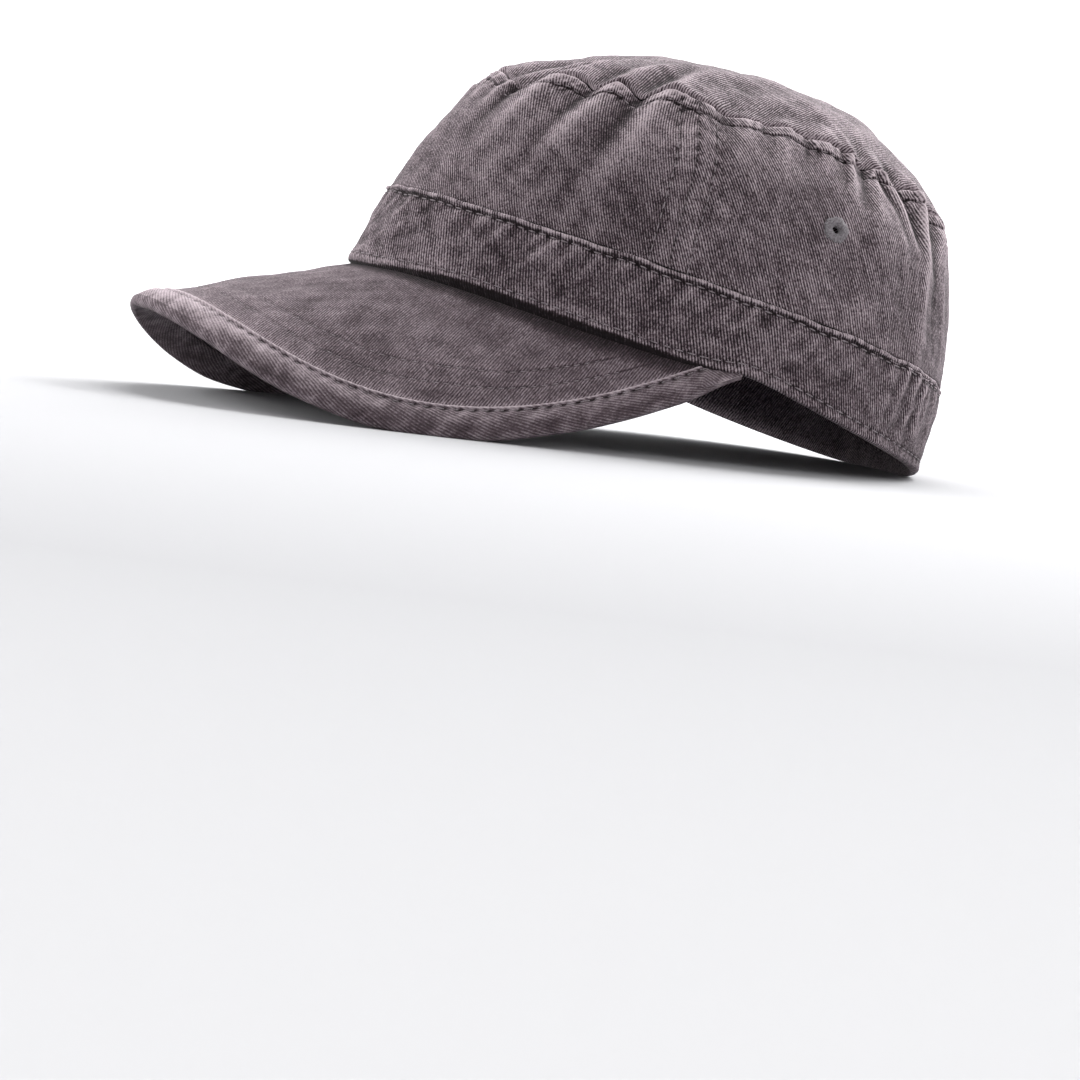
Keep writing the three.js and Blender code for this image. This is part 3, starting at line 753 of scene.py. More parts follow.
@dataclass(frozen=True)
class PanelPlan:
    """One crown panel: the angle of its first and of its last edge at each level.

    side is 1 for the wearer's left, -1 for the right and 0 in front.
    """

    name: str
    start: Callable[[Array], Array]
    end: Callable[[Array], Array]
    columns: int
    side: int


@dataclass
class Crown:
    """The three panels and the domed top, joined at a gathered, topstitched seam."""

    wall_thick: float = 1.4
    piece_gap: float = 0.3
    foot_gap: float = 0.15
    side_gap: float = 0.05
    seam_at_band: float = 69.5
    seam_at_top: float = 64.5
    strip_width: float = 5.2
    strip_out: float = 0.3
    crimp_out: float = 0.07
    strip_pucker_out: float = 0.12
    strip_pucker_apart: float = 3.6
    pillow: float = 0.2
    lip_out: float = 0.35
    edge_dive: float = 1.1
    edge_round: float = 0.95
    mitre_reach: float = 2.0
    groove_deep: float = 0.3
    groove_wide: float = 0.45
    pleats: Puckers = Puckers(
        out=0.5, seed=31, width=(0.7, 1.4), long=(20, 30), lean=(-0.5, 0.5), apart=(2.6, 5.4),
    )
    hanging: Puckers = Puckers(out=0.4, seed=32, width=(1.2, 2.4), long=(4, 11), lean=(-0.3, 0.3))
    allowance_out: float = 0.22
    seam_pucker: float = 0.28
    seam_pucker_apart: float = 5.2
    row_from_seam: float = 6.0
    rise_reach: float = 11.0
    # Weights of the painted light and shade on the panels
    fold_shade: float = 0.11
    rise_shade: float = 0.05
    pleat_shade: float = 0.25
    row_shade: float = 0.12
    pucker_shade: float = 0.16
    # Painted shade low on the front beside the side seams: its strength, its middle and its size, in
    # mm
    low_front_shade: float = 0.24
    low_front_shade_place: tuple[float, float] = (13.0, 12.0)
    low_front_shade_size: tuple[float, float] = (11.0, 14.0)
    wall_rows: int = 78
    strip_rows: int = 20
    top_rings: int = 84
    top_columns: int = 584
    eyelet_angle: float = 96.5
    eyelet_up: float = 0.405
    hole_radius: float = 2.9
    gathers: Gathers = field(default_factory=Gathers)
    lumps: Unevenness = Unevenness(wavelength=26, height=0.32, seed=3)
    ripples: Unevenness = Unevenness(wavelength=8, height=0.10, seed=5)
    nets: dict[str, Net] = field(default_factory=dict)

    def seam_angle(self, level: Array) -> Array:
        """Angle of the side seam at a level, in radians."""
        return np.radians(lerp(self.seam_at_band, self.seam_at_top, (level - 1) / 2))

    def seam_frame(self, angle: Array) -> tuple[Array, Array]:
        """At the top seam: the direction in which it rises, and its outward mitre."""
        across, up = slopes(FORM.wall, angle, np.full_like(angle, 3.0))
        top_across, inward = slopes(FORM.top, angle, np.full_like(angle, 1.0))
        wall_out = unit(np.cross(across, up))
        top_out = unit(np.cross(inward, top_across))
        mitre = unit(wall_out + top_out)
        mitre = mitre / (mitre * wall_out).sum(-1, keepdims=True)
        return unit(unit(up) - unit(inward)), mitre

    def panel_grid(self, plan: PanelPlan) -> tuple[Array, Array, Array, Array]:
        """Lays out a panel's columns and rows, with the rows close together in its strip.

        Args:
            plan: its edges and columns.

        Returns:
            The angle and level of each place, and how far it lies over the band and below
            the top seam, in millimetres.
        """
        share = np.linspace(0, 1, plan.columns)[:, None]
        fine = np.linspace(1, 3, 81)
        middle = lerp(plan.start(np.array(2.0)), plan.end(np.array(2.0)), share)
        run = way(FORM.wall(middle, fine[None, :]), axis=1)
        whole = run[:, -1:]
        foot = whole - self.strip_width - self.groove_wide
        lower = np.linspace(0, 1, self.wall_rows, endpoint=False)[None, :] * (foot - self.foot_gap)
        upper = foot + (whole - foot) * np.linspace(0, 1, self.strip_rows)[None, :]
        height = np.concatenate([lower + self.foot_gap, upper], axis=1)
        level = look_up(height, run, fine)
        speed = np.linalg.norm(slopes(FORM.wall, middle + 0 * level, level)[0], axis=-1)
        inset = self.side_gap / 2 / speed
        angle = lerp(plan.start(level) + inset, plan.end(level) - inset, share)
        return angle, level, height, whole - height

    def panel(self, plan: PanelPlan) -> tuple[Net, Net]:
        """One crown panel between two seams.

        Args:
            plan: its edges and columns.

        Returns:
            The outer net and the inner net.
        """
        angle, level, height, from_top = self.panel_grid(plan)
        across, along = slopes(FORM.wall, angle, level)
        normal = unit(np.cross(across, along))
        rise = self.gathers.rise(angle)
        base = FORM.wall(angle, level)
        around = way(base, axis=0)
        to_side = np.minimum(around, around[-1] - around)
        drawn = self.drawn_up(around[:, -1:], from_top, float(around[-1, -1]), angle)
        around = around - around[plan.columns // 2]
        folds = self.gathers.out(angle, (level - 1) / 2)
        out = folds + self.lumps.at(base) * ease(height, 0, 12)
        out += self.ripples.at(base)
        out += self.strip(from_top, around, rise) + drawn
        pucker, held = self.side_puckers(to_side, height)
        out += self.side_seam(to_side) + self.seam_pucker * pucker * held
        riser, mitre = self.seam_frame(angle[:, -1])
        near_top = bell(from_top / self.rise_reach)
        moved = base + riser[:, None, :] * (rise * near_top)[..., None]
        blend = (1 - ease(from_top, 0, self.mitre_reach))[..., None]
        square = lerp(normal, mitre[:, None, :], blend)
        dive = self.edge_dive * (1 - ease(from_top, 0, self.edge_round))
        side_dive = self.edge_dive * 0.4 * (1 - ease(to_side, 0, 0.7))
        deepest = np.minimum(dive + side_dive, self.wall_thick - 0.15)
        outer = moved + square * (out - deepest)[..., None]
        inner = moved + square * (out - self.wall_thick)[..., None]
        cloth = turned_cloth(around, height, Grain.SIDE if plan.side else Grain.FRONT)
        # Folds paler on their ridges and darker in their valleys, partly as wear and partly as painted
        # light and shade; the strip paler where the top seam rises and darker where it dips, and
        # pleats paler on their crests and darker between them, as painted light and shade
        shade = self.fold_shade * folds + self.rise_shade * rise * bell(from_top / 6)
        shade += self.pleat_shade * drawn
        # Painted shade along the strip's row of stitches, painted light on the side seams' puckers
        # with painted shade between them, and the seams a little darker as painted shade
        shade -= self.row_shade * bell((from_top - self.strip_width) / 0.6)
        shade += (self.pucker_shade * pucker - 0.1) * held
        # Painted shade low on the front, beside the side seams
        in_front = ease(np.cos(angle), 0.3, 0.42)
        beside = bell((to_side - self.low_front_shade_place[0]) / self.low_front_shade_size[0])
        low = bell((height - self.low_front_shade_place[1]) / self.low_front_shade_size[1])
        shade -= self.low_front_shade * in_front * beside * low
        bend_weight = ease(to_side, 0.5, 2.5) * 0.8 + 0.2
        return Net(outer, cloth, shade, bend_weight), Net(inner, cloth)

    def strip(self, from_top: Array, around: Array, rise: Array) -> Array:
        """The padded strip under the top seam, held by its row of stitches."""
        body = ease(from_top, 0, 1.2)
        body = body * (1 - ease(from_top, self.strip_width - 1.1, self.strip_width))
        pillow = body * self.pillow * rise
        crimp = np.sin(2 * math.pi * (around / STRIP_STITCH.pitch + 0.12 * from_top))
        crimp = self.crimp_out * crimp * body
        puckers = self.strip_pucker_out * np.sin(2 * math.pi * around / self.strip_pucker_apart)
        puckers = puckers * bell((from_top - self.strip_width - 1) / 2)
        groove = self.groove_deep * bell((from_top - self.strip_width) / self.groove_wide)
        return self.strip_out * body + pillow + crimp + puckers - groove

    def drawn_up(self, around: Array, from_top: Array, length: float, angle: Array) -> Array:
        """Pleats across the strip and wrinkles below it, where its stitches draw the cloth up.

        Args:
            around: millimetres along the top seam from the panel's first edge.
            from_top: millimetres down from the seam.
            length: the seam's whole length on this panel.
            angle: each place's angle round the crown.

        Returns:
            How far the cloth stands out. It is least in front, where the cloth lies smooth.
        """
        behind = 0.35 + 0.65 * (1 - ease(np.cos(angle), -0.05, 0.5))
        below = from_top - self.strip_width
        body = ease(from_top, 0, 0.8) * (1 - ease(below, -0.8, 0.4))
        pleats = self.pleats.at(around, from_top, length) * body
        return behind * (pleats + self.hanging.at(around, below, length) * ease(below, -0.2, 1.2))

    def side_seam(self, to_side: Array) -> Array:
        """The raised allowance beside a seam, held by its row of stitches."""
        body = 1 - ease(to_side, self.row_from_seam - 0.8, self.row_from_seam + 0.5)
        groove = bell((to_side - self.row_from_seam) / self.groove_wide)
        return self.allowance_out * body - 0.25 * groove

    def side_puckers(self, to_side: Array, height: Array) -> tuple[Array, Array]:
        """Small wrinkles up a side seam, from -1 to 1, and how strongly each place shows them."""
        turned = 2 * math.pi * (height + 0.5 * to_side) / self.seam_pucker_apart
        pucker = np.sin(turned + 1.5 * np.sin(height / 7.3) + np.sin(height / 3.1 + 1))
        held = bell(to_side / 2.0) + 0.6 * bell((to_side - self.row_from_seam) / 1.5)
        return pucker, held * (0.3 + 0.7 * ease(height, 14, 40))

    def top(self) -> tuple[Net, Net]:
        """The domed top, gathered onto the panels, with its edge standing out over them."""
        angle = np.linspace(-math.pi, math.pi, self.top_columns)
        share = np.linspace(0, 1, self.top_rings) ** 0.72
        reach = np.linalg.norm(slopes(FORM.top, angle, np.ones_like(angle))[1], axis=-1)
        edge = 1 - self.piece_gap / 2 / reach
        angle, share = angle[:, None] + 0 * share, share[None, :] * edge[:, None]
        base = FORM.top(angle, share)
        safe = np.maximum(share, 0.02)
        across, inward = slopes(FORM.top, angle, safe)
        normal = unit(np.cross(inward, across))
        normal[:, 0] = (0, 0, 1)
        from_edge = (edge[:, None] - share) * reach[:, None]
        rise = self.gathers.rise(angle)
        ahead = ease(np.cos(angle), 0.1, 0.6)
        fade = ahead * 0.85 * ease(share, 0.5, 1) + (1 - ahead) * 0.6 * ease(share, 0.84, 1)
        out = self.gathers.out(angle, np.ones_like(share)) * fade
        out += self.top_folds(angle, share)
        out += self.lumps.at(base) * 1.2 + self.ripples.at(base)
        held = ease(from_edge, 0, 1.0) * (1 - ease(from_edge, 1.6, 6.5))
        out += held * (self.lip_out + 0.12 * rise)
        riser, mitre = self.seam_frame(angle[:, -1])
        near = bell(from_edge / self.rise_reach)
        moved = base + riser[:, None, :] * (rise * near)[..., None]
        blend = (1 - ease(from_edge, 0, self.mitre_reach))[..., None]
        square = lerp(normal, mitre[:, None, :], blend)
        dive = self.edge_dive * (1 - ease(from_edge, 0, self.edge_round))
        outer = moved + square * (out - dive)[..., None]
        inner = moved + square * (out - self.wall_thick)[..., None]
        for points in (outer, inner):
            points[-1] = points[0]
            points[:, 0] = points[:, 0].mean(0)
        flat = unit(base[..., :2]) * way(base, axis=1)[..., None]
        cloth = turned_cloth(flat[..., 0], flat[..., 1], Grain.TOP)
        bend_weight = 0.3 + 0.7 * ease(from_edge, 2, 6)
        faced = [net[:, ::-1] for net in (outer, inner, cloth, bend_weight)]
        return Net(faced[0], faced[2], 0.0, faced[3]), Net(faced[1], faced[2])

    def top_folds(self, angle: Array, share: Array) -> Array:
        """Long soft folds that run in from the top's edge."""
        place = np.degrees(wrap(angle))
        total = np.zeros(angle.shape)
        for crease in TOP_CREASES:
            width = crease.width / np.maximum(share, 0.25)
            away = (place - crease.at - crease.lean * (1 - share)) / width
            total += crease.out * bell(away) * ease(share, 0.15, 0.85)
        return total

    def eyelet_place(self, side: int) -> tuple[Array, Array, Array]:
        """The eyelet's middle on the outer face, its outward direction and its upward one."""
        angle = np.array([side * math.radians(self.eyelet_angle)])
        level = np.array([1 + 2 * self.eyelet_up])
        across, along = slopes(FORM.wall, angle, level)
        normal = unit(np.cross(across, along))
        out = self.gathers.out(angle, np.array([self.eyelet_up]))
        base = FORM.wall(angle, level)
        out = out + self.lumps.at(base) + self.ripples.at(base)
        return (base + normal * out[:, None])[0], normal[0], unit(along)[0]

    def centre_back(self, side: int) -> Callable[[Array], Array]:
        """The angle of the centre back at each level, as a side panel's edge."""
        return lambda level: side * math.pi + 0 * level

    def build(self) -> list[bpy.types.Object]:
        """Makes the three panels and the top."""
        pieces = []
        left, right = self.seam_angle, lambda level: -self.seam_angle(level)
        for plan in (
            PanelPlan("crown_front", start=right, end=left, columns=380, side=0),
            PanelPlan("crown_side_left", start=left, end=self.centre_back(1), columns=360, side=1),
            PanelPlan("crown_side_right", start=self.centre_back(-1), end=right, columns=360, side=-1),
        ):
            outer, inner = self.panel(plan)
            gone = self.eyelet_hole(outer, plan.side) if plan.side else None
            self.nets[plan.name] = outer
            pieces.append(shell(f"{plan.name}_cloth", outer, inner, gone))
            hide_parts(plan.name)
        outer, inner = self.top()
        self.nets["crown_top"] = outer
        pieces.append(shell("crown_top_cloth", outer, inner))
        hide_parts("crown_top")
        return pieces

    def eyelet_hole(self, outer: Net, side: int) -> Array:
        """The faces of a side panel that its eyelet's hole takes out."""
        middle, _, _ = self.eyelet_place(side)
        centres = (outer.points[:-1, :-1] + outer.points[1:, 1:]) / 2
        return np.linalg.norm(centres - middle, axis=-1) < self.hole_radius


@dataclass(frozen=True)
class BandPlan:
    """Where the band's face lies, with a row for each angle and lengths in millimetres.

    run is the way up the wall at each of levels, whole is all of it, and around is the way
    round the band at its middle height. on_peak and over are the share to which the band
    stands over the peak, and aside the share of the full gap there. under and lift are the
    heights at which its back and its face start. height, from_hem and row_below place each
    point of its face.
    """

    angle: Array
    levels: Array
    run: Array
    whole: Array
    around: Array
    on_peak: Array
    over: Array
    aside: Array
    under: Array
    lift: Array
    welt_foot: Array
    height: Array
    from_hem: Array
    row_below: Array


@dataclass
class Band:
    """The sewn band: a puckered upper seam under a rounded welt, and a stitched hem."""

    wall_thick: float = 2.4
    welt_radius: float = 0.8
    welt_out: float = 0.6
    welt_below: float = 0.12
    welt_rows: int = 15
    row_under_welt: float = 0.9
    hem_row: float = 3.6
    hem_radius: float = 1.1
    over_peak: float = 2.9
    least_gap: float = 0.45
    front_share: float = 0.35
    corner_fade: float = 0.42
    roll_out: float = 0.7
    hem_curl: float = 1.3
    hem_curl_high: float = 4.5
    girth: float = 570.0
    hem_pucker_apart: float = 4.3
    columns: int = 900
    face_rows: int = 52
    back_rows: int = 8
    upper_groove: float = 0.3
    hem_groove: float = 0.25
    hem_pucker_out: float = 0.1
    rope_out: float = 0.07
    # Painted shade: over the whole band, in the gap where it stands over the peak, and in the crevice
    # above the welt
    even_tone: float = -0.07
    gap_shade: float = 1.8
    seam_shade: float = 0.9
    welt_bend_weight: float = 0.45
    puckers: Puckers = Puckers(out=0.6, seed=11)
    waves: Unevenness = Unevenness(wavelength=12, height=0.16, seed=17)
    rope: Unevenness = Unevenness(wavelength=3.2, height=0.1, seed=18)
    specks: Unevenness = Unevenness(wavelength=2.2, height=0.22, seed=19)
    lumps: Unevenness = Unevenness(wavelength=22, height=0.28, seed=3)
    ripples: Unevenness = Unevenness(wavelength=7, height=0.10, seed=8)
    net: Net | None = None
    face_heights: Array | None = None

    def plan(self) -> BandPlan:
        """Lays the band's face out between the hem and the welt."""
        angle = np.linspace(-math.pi, math.pi, self.columns)
        levels = np.linspace(0, 1, 41)
        path = FORM.wall(angle[:, None], levels[None, :])
        run = way(path, axis=1)
        whole = run[:, -1:]
        around = way(path[:, path.shape[1] // 2], axis=0)[:, None]
        to_corner = FORM.peak_end - np.abs(angle)
        on_peak = ease(to_corner, -0.02, self.corner_fade)[:, None]
        under = self.least_gap * bell(np.maximum(-to_corner, 0) / 0.12)[:, None]
        aside = lerp(self.front_share, 1, ease(np.abs(angle), 0.15, 0.75))[:, None]
        lift = lerp(under, self.over_peak * aside, on_peak)
        welt_foot = whole - 2 * self.welt_radius - self.welt_below
        height = lift + np.linspace(0, 1, self.face_rows)[None, :] * (welt_foot - lift)
        return BandPlan(
            angle=angle, levels=levels, run=run, whole=whole, around=around,
            on_peak=on_peak, over=ease(to_corner, -0.02, 0.2)[:, None], aside=aside, under=under,
            lift=lift, welt_foot=welt_foot, height=height, from_hem=height - lift,
            row_below=welt_foot - self.row_under_welt - height,
        )

    def face(self, plan: BandPlan) -> Array:
        """How far each point of the face stands out: its folded hem, its rows and its wrinkles."""
        from_hem, row_below = plan.from_hem, plan.row_below
        fold = np.sqrt(np.clip(1 - (1 - from_hem / self.hem_radius) ** 2, 0, 1)) - 1
        bulge = self.hem_radius * fold * (from_hem < self.hem_radius)
        bulge += self.roll_out * plan.on_peak * bell(from_hem / 5)
        bulge -= self.upper_groove * bell(row_below / 0.45)
        bulge -= self.hem_groove * bell((from_hem - self.hem_row) / 0.5)
        along_hem = np.cumsum(np.full(self.columns, self.girth / self.columns))
        hem_pucker = np.sin(2 * math.pi * along_hem / self.hem_pucker_apart)
        drawn = self.hem_pucker_out * hem_pucker[:, None]
        bulge += drawn * bell((from_hem - self.hem_row + 1.2) / 1.6)
        length = float(plan.around[-1, 0])
        bulge += self.puckers.at(plan.around, row_below, length) * ease(row_below, -0.6, 0.3)
        curl = np.square(np.clip(1 - from_hem / self.hem_curl_high, 0, 1))
        bulge -= self.hem_curl * plan.on_peak * curl
        return bulge + self.back_wrinkles(plan.angle[:, None], plan.height / plan.whole)

    def section(self, plan: BandPlan) -> tuple[Array, Array]:
        """The band's whole section: its face, its welt, its top and its back.

        Args:
            plan: how the face is laid out.

        Returns:
            Heights up the wall and how far each point stands out, in millimetres.
        """
        turns = np.radians(np.linspace(-80, 100, self.welt_rows))[None, :]
        ring = FORM.wall(plan.angle, np.ones_like(plan.angle))
        wave = self.waves.at(ring)[:, None]
        rope = self.rope_out * np.sin(2 * math.pi * plan.around / WELT_STITCH.pitch)
        rope = rope + self.rope.at(ring)[:, None]
        welt_height = plan.welt_foot + self.welt_radius * (1 + np.sin(turns)) + wave
        welt_out = self.welt_out + self.welt_radius * (np.cos(turns) - 1) + rope
        face_height = plan.height + wave * bell(plan.row_below / 4)
        top = plan.whole - self.welt_below / 2
        down = np.linspace(1, 0, self.back_rows)[None, :]
        back_height = plan.under + down * (top - plan.under)
        back_out = np.full(back_height.shape, -self.wall_thick)
        height = np.concatenate([face_height, welt_height, top, back_height], 1)
        bulge = np.concatenate([self.face(plan), welt_out, back_out[:, :1], back_out], 1)
        return height, bulge

    def shade(self, plan: BandPlan, shape: tuple[int, int]) -> Array:
        """Painted shade: a little over the whole band, and dark over the peak, under the welt along
        its stitches, and along the hem.

        Args:
            plan: how the face is laid out.
            shape: columns and rows of the whole section.

        Returns:
            The shade of each point.
        """
        rows, welt_end = self.face_rows, self.face_rows + self.welt_rows
        # The whole band starts a little darker, as painted shade
        shade = np.full(shape, self.even_tone)
        # Painted shade in the gap where the hem stands over the peak, fading up the face
        hem_high = (1.4 + 1.6 * plan.on_peak) * plan.aside
        shade[:, :rows] -= self.gap_shade * plan.over * (1 - ease(plan.from_hem, 0.5, hem_high))
        # Painted shade in the groove and needle holes of the row under the welt, and along the hem's
        # row
        stitch = 0.5 - 0.5 * np.cos(2 * math.pi * plan.around / WELT_STITCH.pitch)
        shade[:, :rows] -= (0.25 + 0.45 * stitch) * bell(plan.row_below / 0.6)
        shade[:, :rows] -= 0.15 * bell((plan.from_hem - self.hem_row) / 0.7)
        ring = FORM.wall(plan.angle, np.ones_like(plan.angle))
        shade[:, rows:welt_end - 3] = self.specks.at(ring)[:, None] - 0.05
        # Painted shade in the crevice where the welt meets the crown
        shade[:, welt_end - 3:welt_end + 1] = -self.seam_shade
        # Painted shade on the back, inside the gap over the peak
        shade[:, 1 - self.back_rows:] = -self.gap_shade * plan.over
        return shade

    def build(self) -> bpy.types.Object:
        """Makes the band as one closed ring of cloth."""
        plan = self.plan()
        height, bulge = self.section(plan)
        level = look_up(height, plan.run, plan.levels)
        beyond = np.maximum(height - plan.whole, 0)
        angle = plan.angle[:, None] + 0 * level
        across, along = slopes(FORM.wall, angle, level)
        normal = unit(np.cross(across, along))
        base = FORM.wall(angle, level) + unit(along) * beyond[..., None]
        on_face = ease(bulge, -self.wall_thick + 0.4, -0.6)
        bulge = bulge + (self.lumps.at(base) + self.ripples.at(base)) * on_face
        points = base + normal * bulge[..., None]
        points[-1] = points[0]
        points = np.concatenate([points, points[:, :1]], 1)
        height = np.concatenate([height, height[:, :1]], 1)
        cloth = turned_cloth(plan.around + 0 * height, height, Grain.BAND)
        bend_weight = np.full(height.shape, 0.8)
        bend_weight[:, :self.face_rows] = 0.15 + 0.75 * ease(plan.from_hem, 0.5, 2.5)
        bend_weight[:, self.face_rows:self.face_rows + self.welt_rows - 3] = self.welt_bend_weight
        self.net = Net(points[:, :self.face_rows], cloth[:, :self.face_rows])
        self.face_heights = plan.from_hem
        whole_net = Net(points, cloth, self.shade(plan, height.shape), bend_weight)
        piece = ring_body("band_cloth", whole_net, closed_ends=False)
        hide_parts("band")
        return piece

    def back_wrinkles(self, angle: Array, up: Array) -> Array:
        """Upright wrinkles where the band is drawn in behind."""
        place = np.degrees(angle)
        total = np.zeros(np.broadcast(place, up).shape)
        for crease in BAND_CREASES:
            away = (place - crease.at - crease.lean * (1 - up)) / crease.width
            total += crease.out * bell(away) * ease(up, 0.05, 0.45)
        return total


@dataclass(frozen=True)
class BorderPlan:
    """How the border is laid out, with a row for each angle and lengths in millimetres.

    face and normal are the peak's own face under it. from_inner and inner are the distances
    from its inner edge and from the rim, run is the way along the rim and to_corner that from
    the nearer corner. full is the share of its padding, rope the swell between the stitches
    of its row, and hole the dents at their ends.
    """

    face: Array
    normal: Array
    from_inner: Array
    inner: Array
    run: Array
    to_corner: Array
    full: Array
    rope: Array
    hole: Array


@dataclass
class Peak:
    """The curved peak: two cloth covers and a padded border with a raised inner edge."""

    cover_wall: float = 1.6
    ply_gap: float = 0.5
    thick: float = 4.2
    border_width: float = 10.2
    ridge_out: float = 0.7
    ridge_wide: float = 1.1
    tuck: float = 2.2
    piece_gap: float = 0.3
    row_insets: tuple[float, float] = (18.6, 26.0)
    row_deep: float = 0.18
    holes_in: float = 2.0
    row_start: int = 14
    pad_out: float = 1.0
    corner_thick: float = 0.35
    corner_long: float = 22.0
    ridge_at: float = 0.75
    hole_deep: float = 0.45
    # Painted light on the border's ridge and middle, painted shade in its holes and round its rim, and
    # how far its bends show
    ridge_shade: float = 0.34
    middle_shade: float = 0.3
    hole_shade: float = 0.95
    rim_shade: float = 0.22
    base_bend_weight: float = 0.25
    cloth_stretch: float = 1.13
    columns: int = 420
    rows: int = 96
    fine_rows: int = 160
    border_columns: int = 640
    border_rows: int = 30
    nose_rows: int = 12
    lumps: Unevenness = Unevenness(wavelength=24, height=0.22, seed=13)
    ripples: Unevenness = Unevenness(wavelength=7, height=0.07, seed=14)
    nets: dict[str, Net] = field(default_factory=dict)

    def inset_run(self, angle: Array, rows: int) -> tuple[Array, Array]:
        """Distances in plan from the band, and how far each is in from the edge along the face.

        Args:
            angle: one angle for each column.
            rows: number of places in each column.

        Returns:
            The distances in plan and the insets along the face, a row for each column.
        """
        reach = FORM.peak_reach(angle)[:, None]
        out = lerp(-self.tuck, reach, np.linspace(0, 1, rows)[None, :])
        face = FORM.peak_face(angle[:, None] + 0 * out, out)
        run = way(face, axis=1)
        return out, run[:, -1:] - run

    def covers(self) -> list[bpy.types.Object]:
        """Makes the two cloth covers inside the border."""
        angle = np.linspace(-FORM.peak_end, FORM.peak_end, 1601)
        out, inset = self.inset_run(angle, 60)
        wide = inset[:, 0] > self.border_width + 1.0
        end = float(angle[wide][-1])
        angle = np.linspace(-end, end, self.columns)
        out, inset = self.inset_run(angle, self.fine_rows)
        edge = self.border_width - self.ridge_wide + 0.15
        reach = look_up(-edge, -inset, out)
        place = lerp(-self.tuck, reach[:, None], np.linspace(0, 1, self.rows)[None, :])
        own = look_up(place, out, inset)
        face = FORM.peak_face(angle[:, None] + 0 * place, place)
        normal = FORM.peak_normal(face)
        relief = (self.lumps.at(face) + self.ripples.at(face)) * ease(place, 0, 8)
        relief *= ease(own, edge, edge + 8)
        sewn = sum(bell((own - row) / 0.6) for row in self.row_insets) * ease(place, 0, 3)
        relief -= self.row_deep * sewn + 0.5 * (1 - ease(own, edge, edge + 1.4))
        # Painted shade where the covers run in under the band, and along their rows of stitches
        shade = -0.5 * (1 - ease(place, -0.5, 3.0)) - 0.08 * sewn
        cloth = turned_cloth(face[..., 0], face[..., 1] * self.cloth_stretch, Grain.PEAK)
        under = self.cover_wall + self.ply_gap
        pieces = []
        for name, top, bottom in (
            ("peak_top", relief, -self.cover_wall + 0 * relief),
            ("peak_under", -under + 0 * relief, -under - self.cover_wall + 0.5 * relief),
        ):
            upper = Net(face + normal * top[..., None], cloth)
            lower = Net(face + normal * bottom[..., None], cloth)
            self.nets[name] = upper
            nets = (upper, lower)
            faced = [Net(net.points[::-1], net.cloth[::-1], shade[::-1]) for net in nets]
            pieces.append(shell(f"{name}_cloth", faced[0], faced[1]))
            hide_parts(name)
        return pieces

    def along_row(self, angle: Array, out: Array, inset: Array) -> Array:
        """Millimetres along the border's row of stitches, from where it starts, at each angle."""
        row_inset = self.border_width - self.holes_in
        run = way(FORM.peak_face(angle, look_up(-row_inset, -inset, out)), axis=0)
        return run - run[self.row_start]

    def border_plan(self) -> BorderPlan:
        """Lays the border out along the peak's rim."""
        angle = np.linspace(-FORM.peak_end, FORM.peak_end, self.border_columns)
        out, inset = self.inset_run(angle, self.fine_rows)
        run = way(FORM.peak_face(angle, FORM.peak_reach(angle)), axis=0)[:, None]
        width = np.minimum(self.border_width, inset[:, :1] - 0.2)
        full = ease(inset[:, :1], 3, self.border_width + 4)
        inner = np.linspace(1, 0, self.border_rows)[None, :] * width
        place = look_up(-inner, -inset, out)
        face = FORM.peak_face(angle[:, None] + 0 * place, place)
        sewn = self.along_row(angle, out, inset)[:, None]
        length = float(sewn[-self.row_start, 0])
        pitch = length / int(length / BORDER_STITCH.pitch)
        apart = (sewn / pitch % 1 - 0.5) * pitch
        hole = bell(apart) * bell((width - inner - self.holes_in) / 0.5) * full
        return BorderPlan(
            face=face, normal=FORM.peak_normal(face), from_inner=width - inner, inner=inner,
            run=run, to_corner=np.minimum(run, run[-1] - run), full=full,
            rope=np.cos(2 * math.pi * sewn / pitch), hole=hole,
        )

    def border_face(self, plan: BorderPlan) -> Array:
        """Points of the border's upper face, with its ridge, its padding and its holes."""
        from_inner = plan.from_inner
        relief = self.ridge_out * bell((from_inner - self.ridge_at) / (self.ridge_wide * 0.62))
        relief = relief * (1 + 0.1 * plan.rope)
        pad_from = self.holes_in - 0.6
        padded = np.clip((from_inner - pad_from) / (self.border_width - pad_from), 0, 1)
        pad_out = self.pad_out * (0.3 + 0.7 * ease(plan.to_corner, 15, 70))
        relief += pad_out * np.sin(math.pi * padded ** 0.85)
        relief += 0.14 * plan.rope * bell((from_inner - 3.2) / 1.5)
        relief = relief * plan.full - self.hole_deep * plan.hole
        relief -= 0.7 * (1 - ease(from_inner, 0, 0.45))
        relief += self.lumps.at(plan.face) * 0.8 * ease(from_inner, 2, 6)
        return plan.face + plan.normal * relief[..., None]

    def border_shading(self, plan: BorderPlan, shape: tuple[int, int]) -> tuple[Array, Array]:
        """Painted light and shade on the border: paler on its ridge, as wear with a painted highlight,
        and in its middle as painted light, with painted shade in its holes, over its outer part and
        round its rim.

        Args:
            plan: how the border is laid out.
            shape: columns and rows of its whole section.

        Returns:
            The shade of each point and how far its bends show.
        """
        rows, from_inner = self.border_rows, plan.from_inner
        middle = bell((plan.run - plan.run[-1] / 2) / 75)
        ridge = bell((from_inner - 0.9) / 0.8) * plan.full
        # Paler on the ridge, as wear with a painted highlight, and paler over the middle of the run as
        # painted light
        face = self.ridge_shade * ridge + self.middle_shade * middle + 0.04
        # Painted shade in the needle holes and over the outer part of the padding
        face -= (self.hole_shade - 0.4 * middle) * plan.hole
        face -= 0.2 * ease(from_inner, 6.5, 10)
        shade = np.zeros(shape)
        shade[:, :rows] = face[::-1]
        # Painted shade round the rim, where it turns under
        shade[:, rows:rows + self.nose_rows] = -self.rim_shade
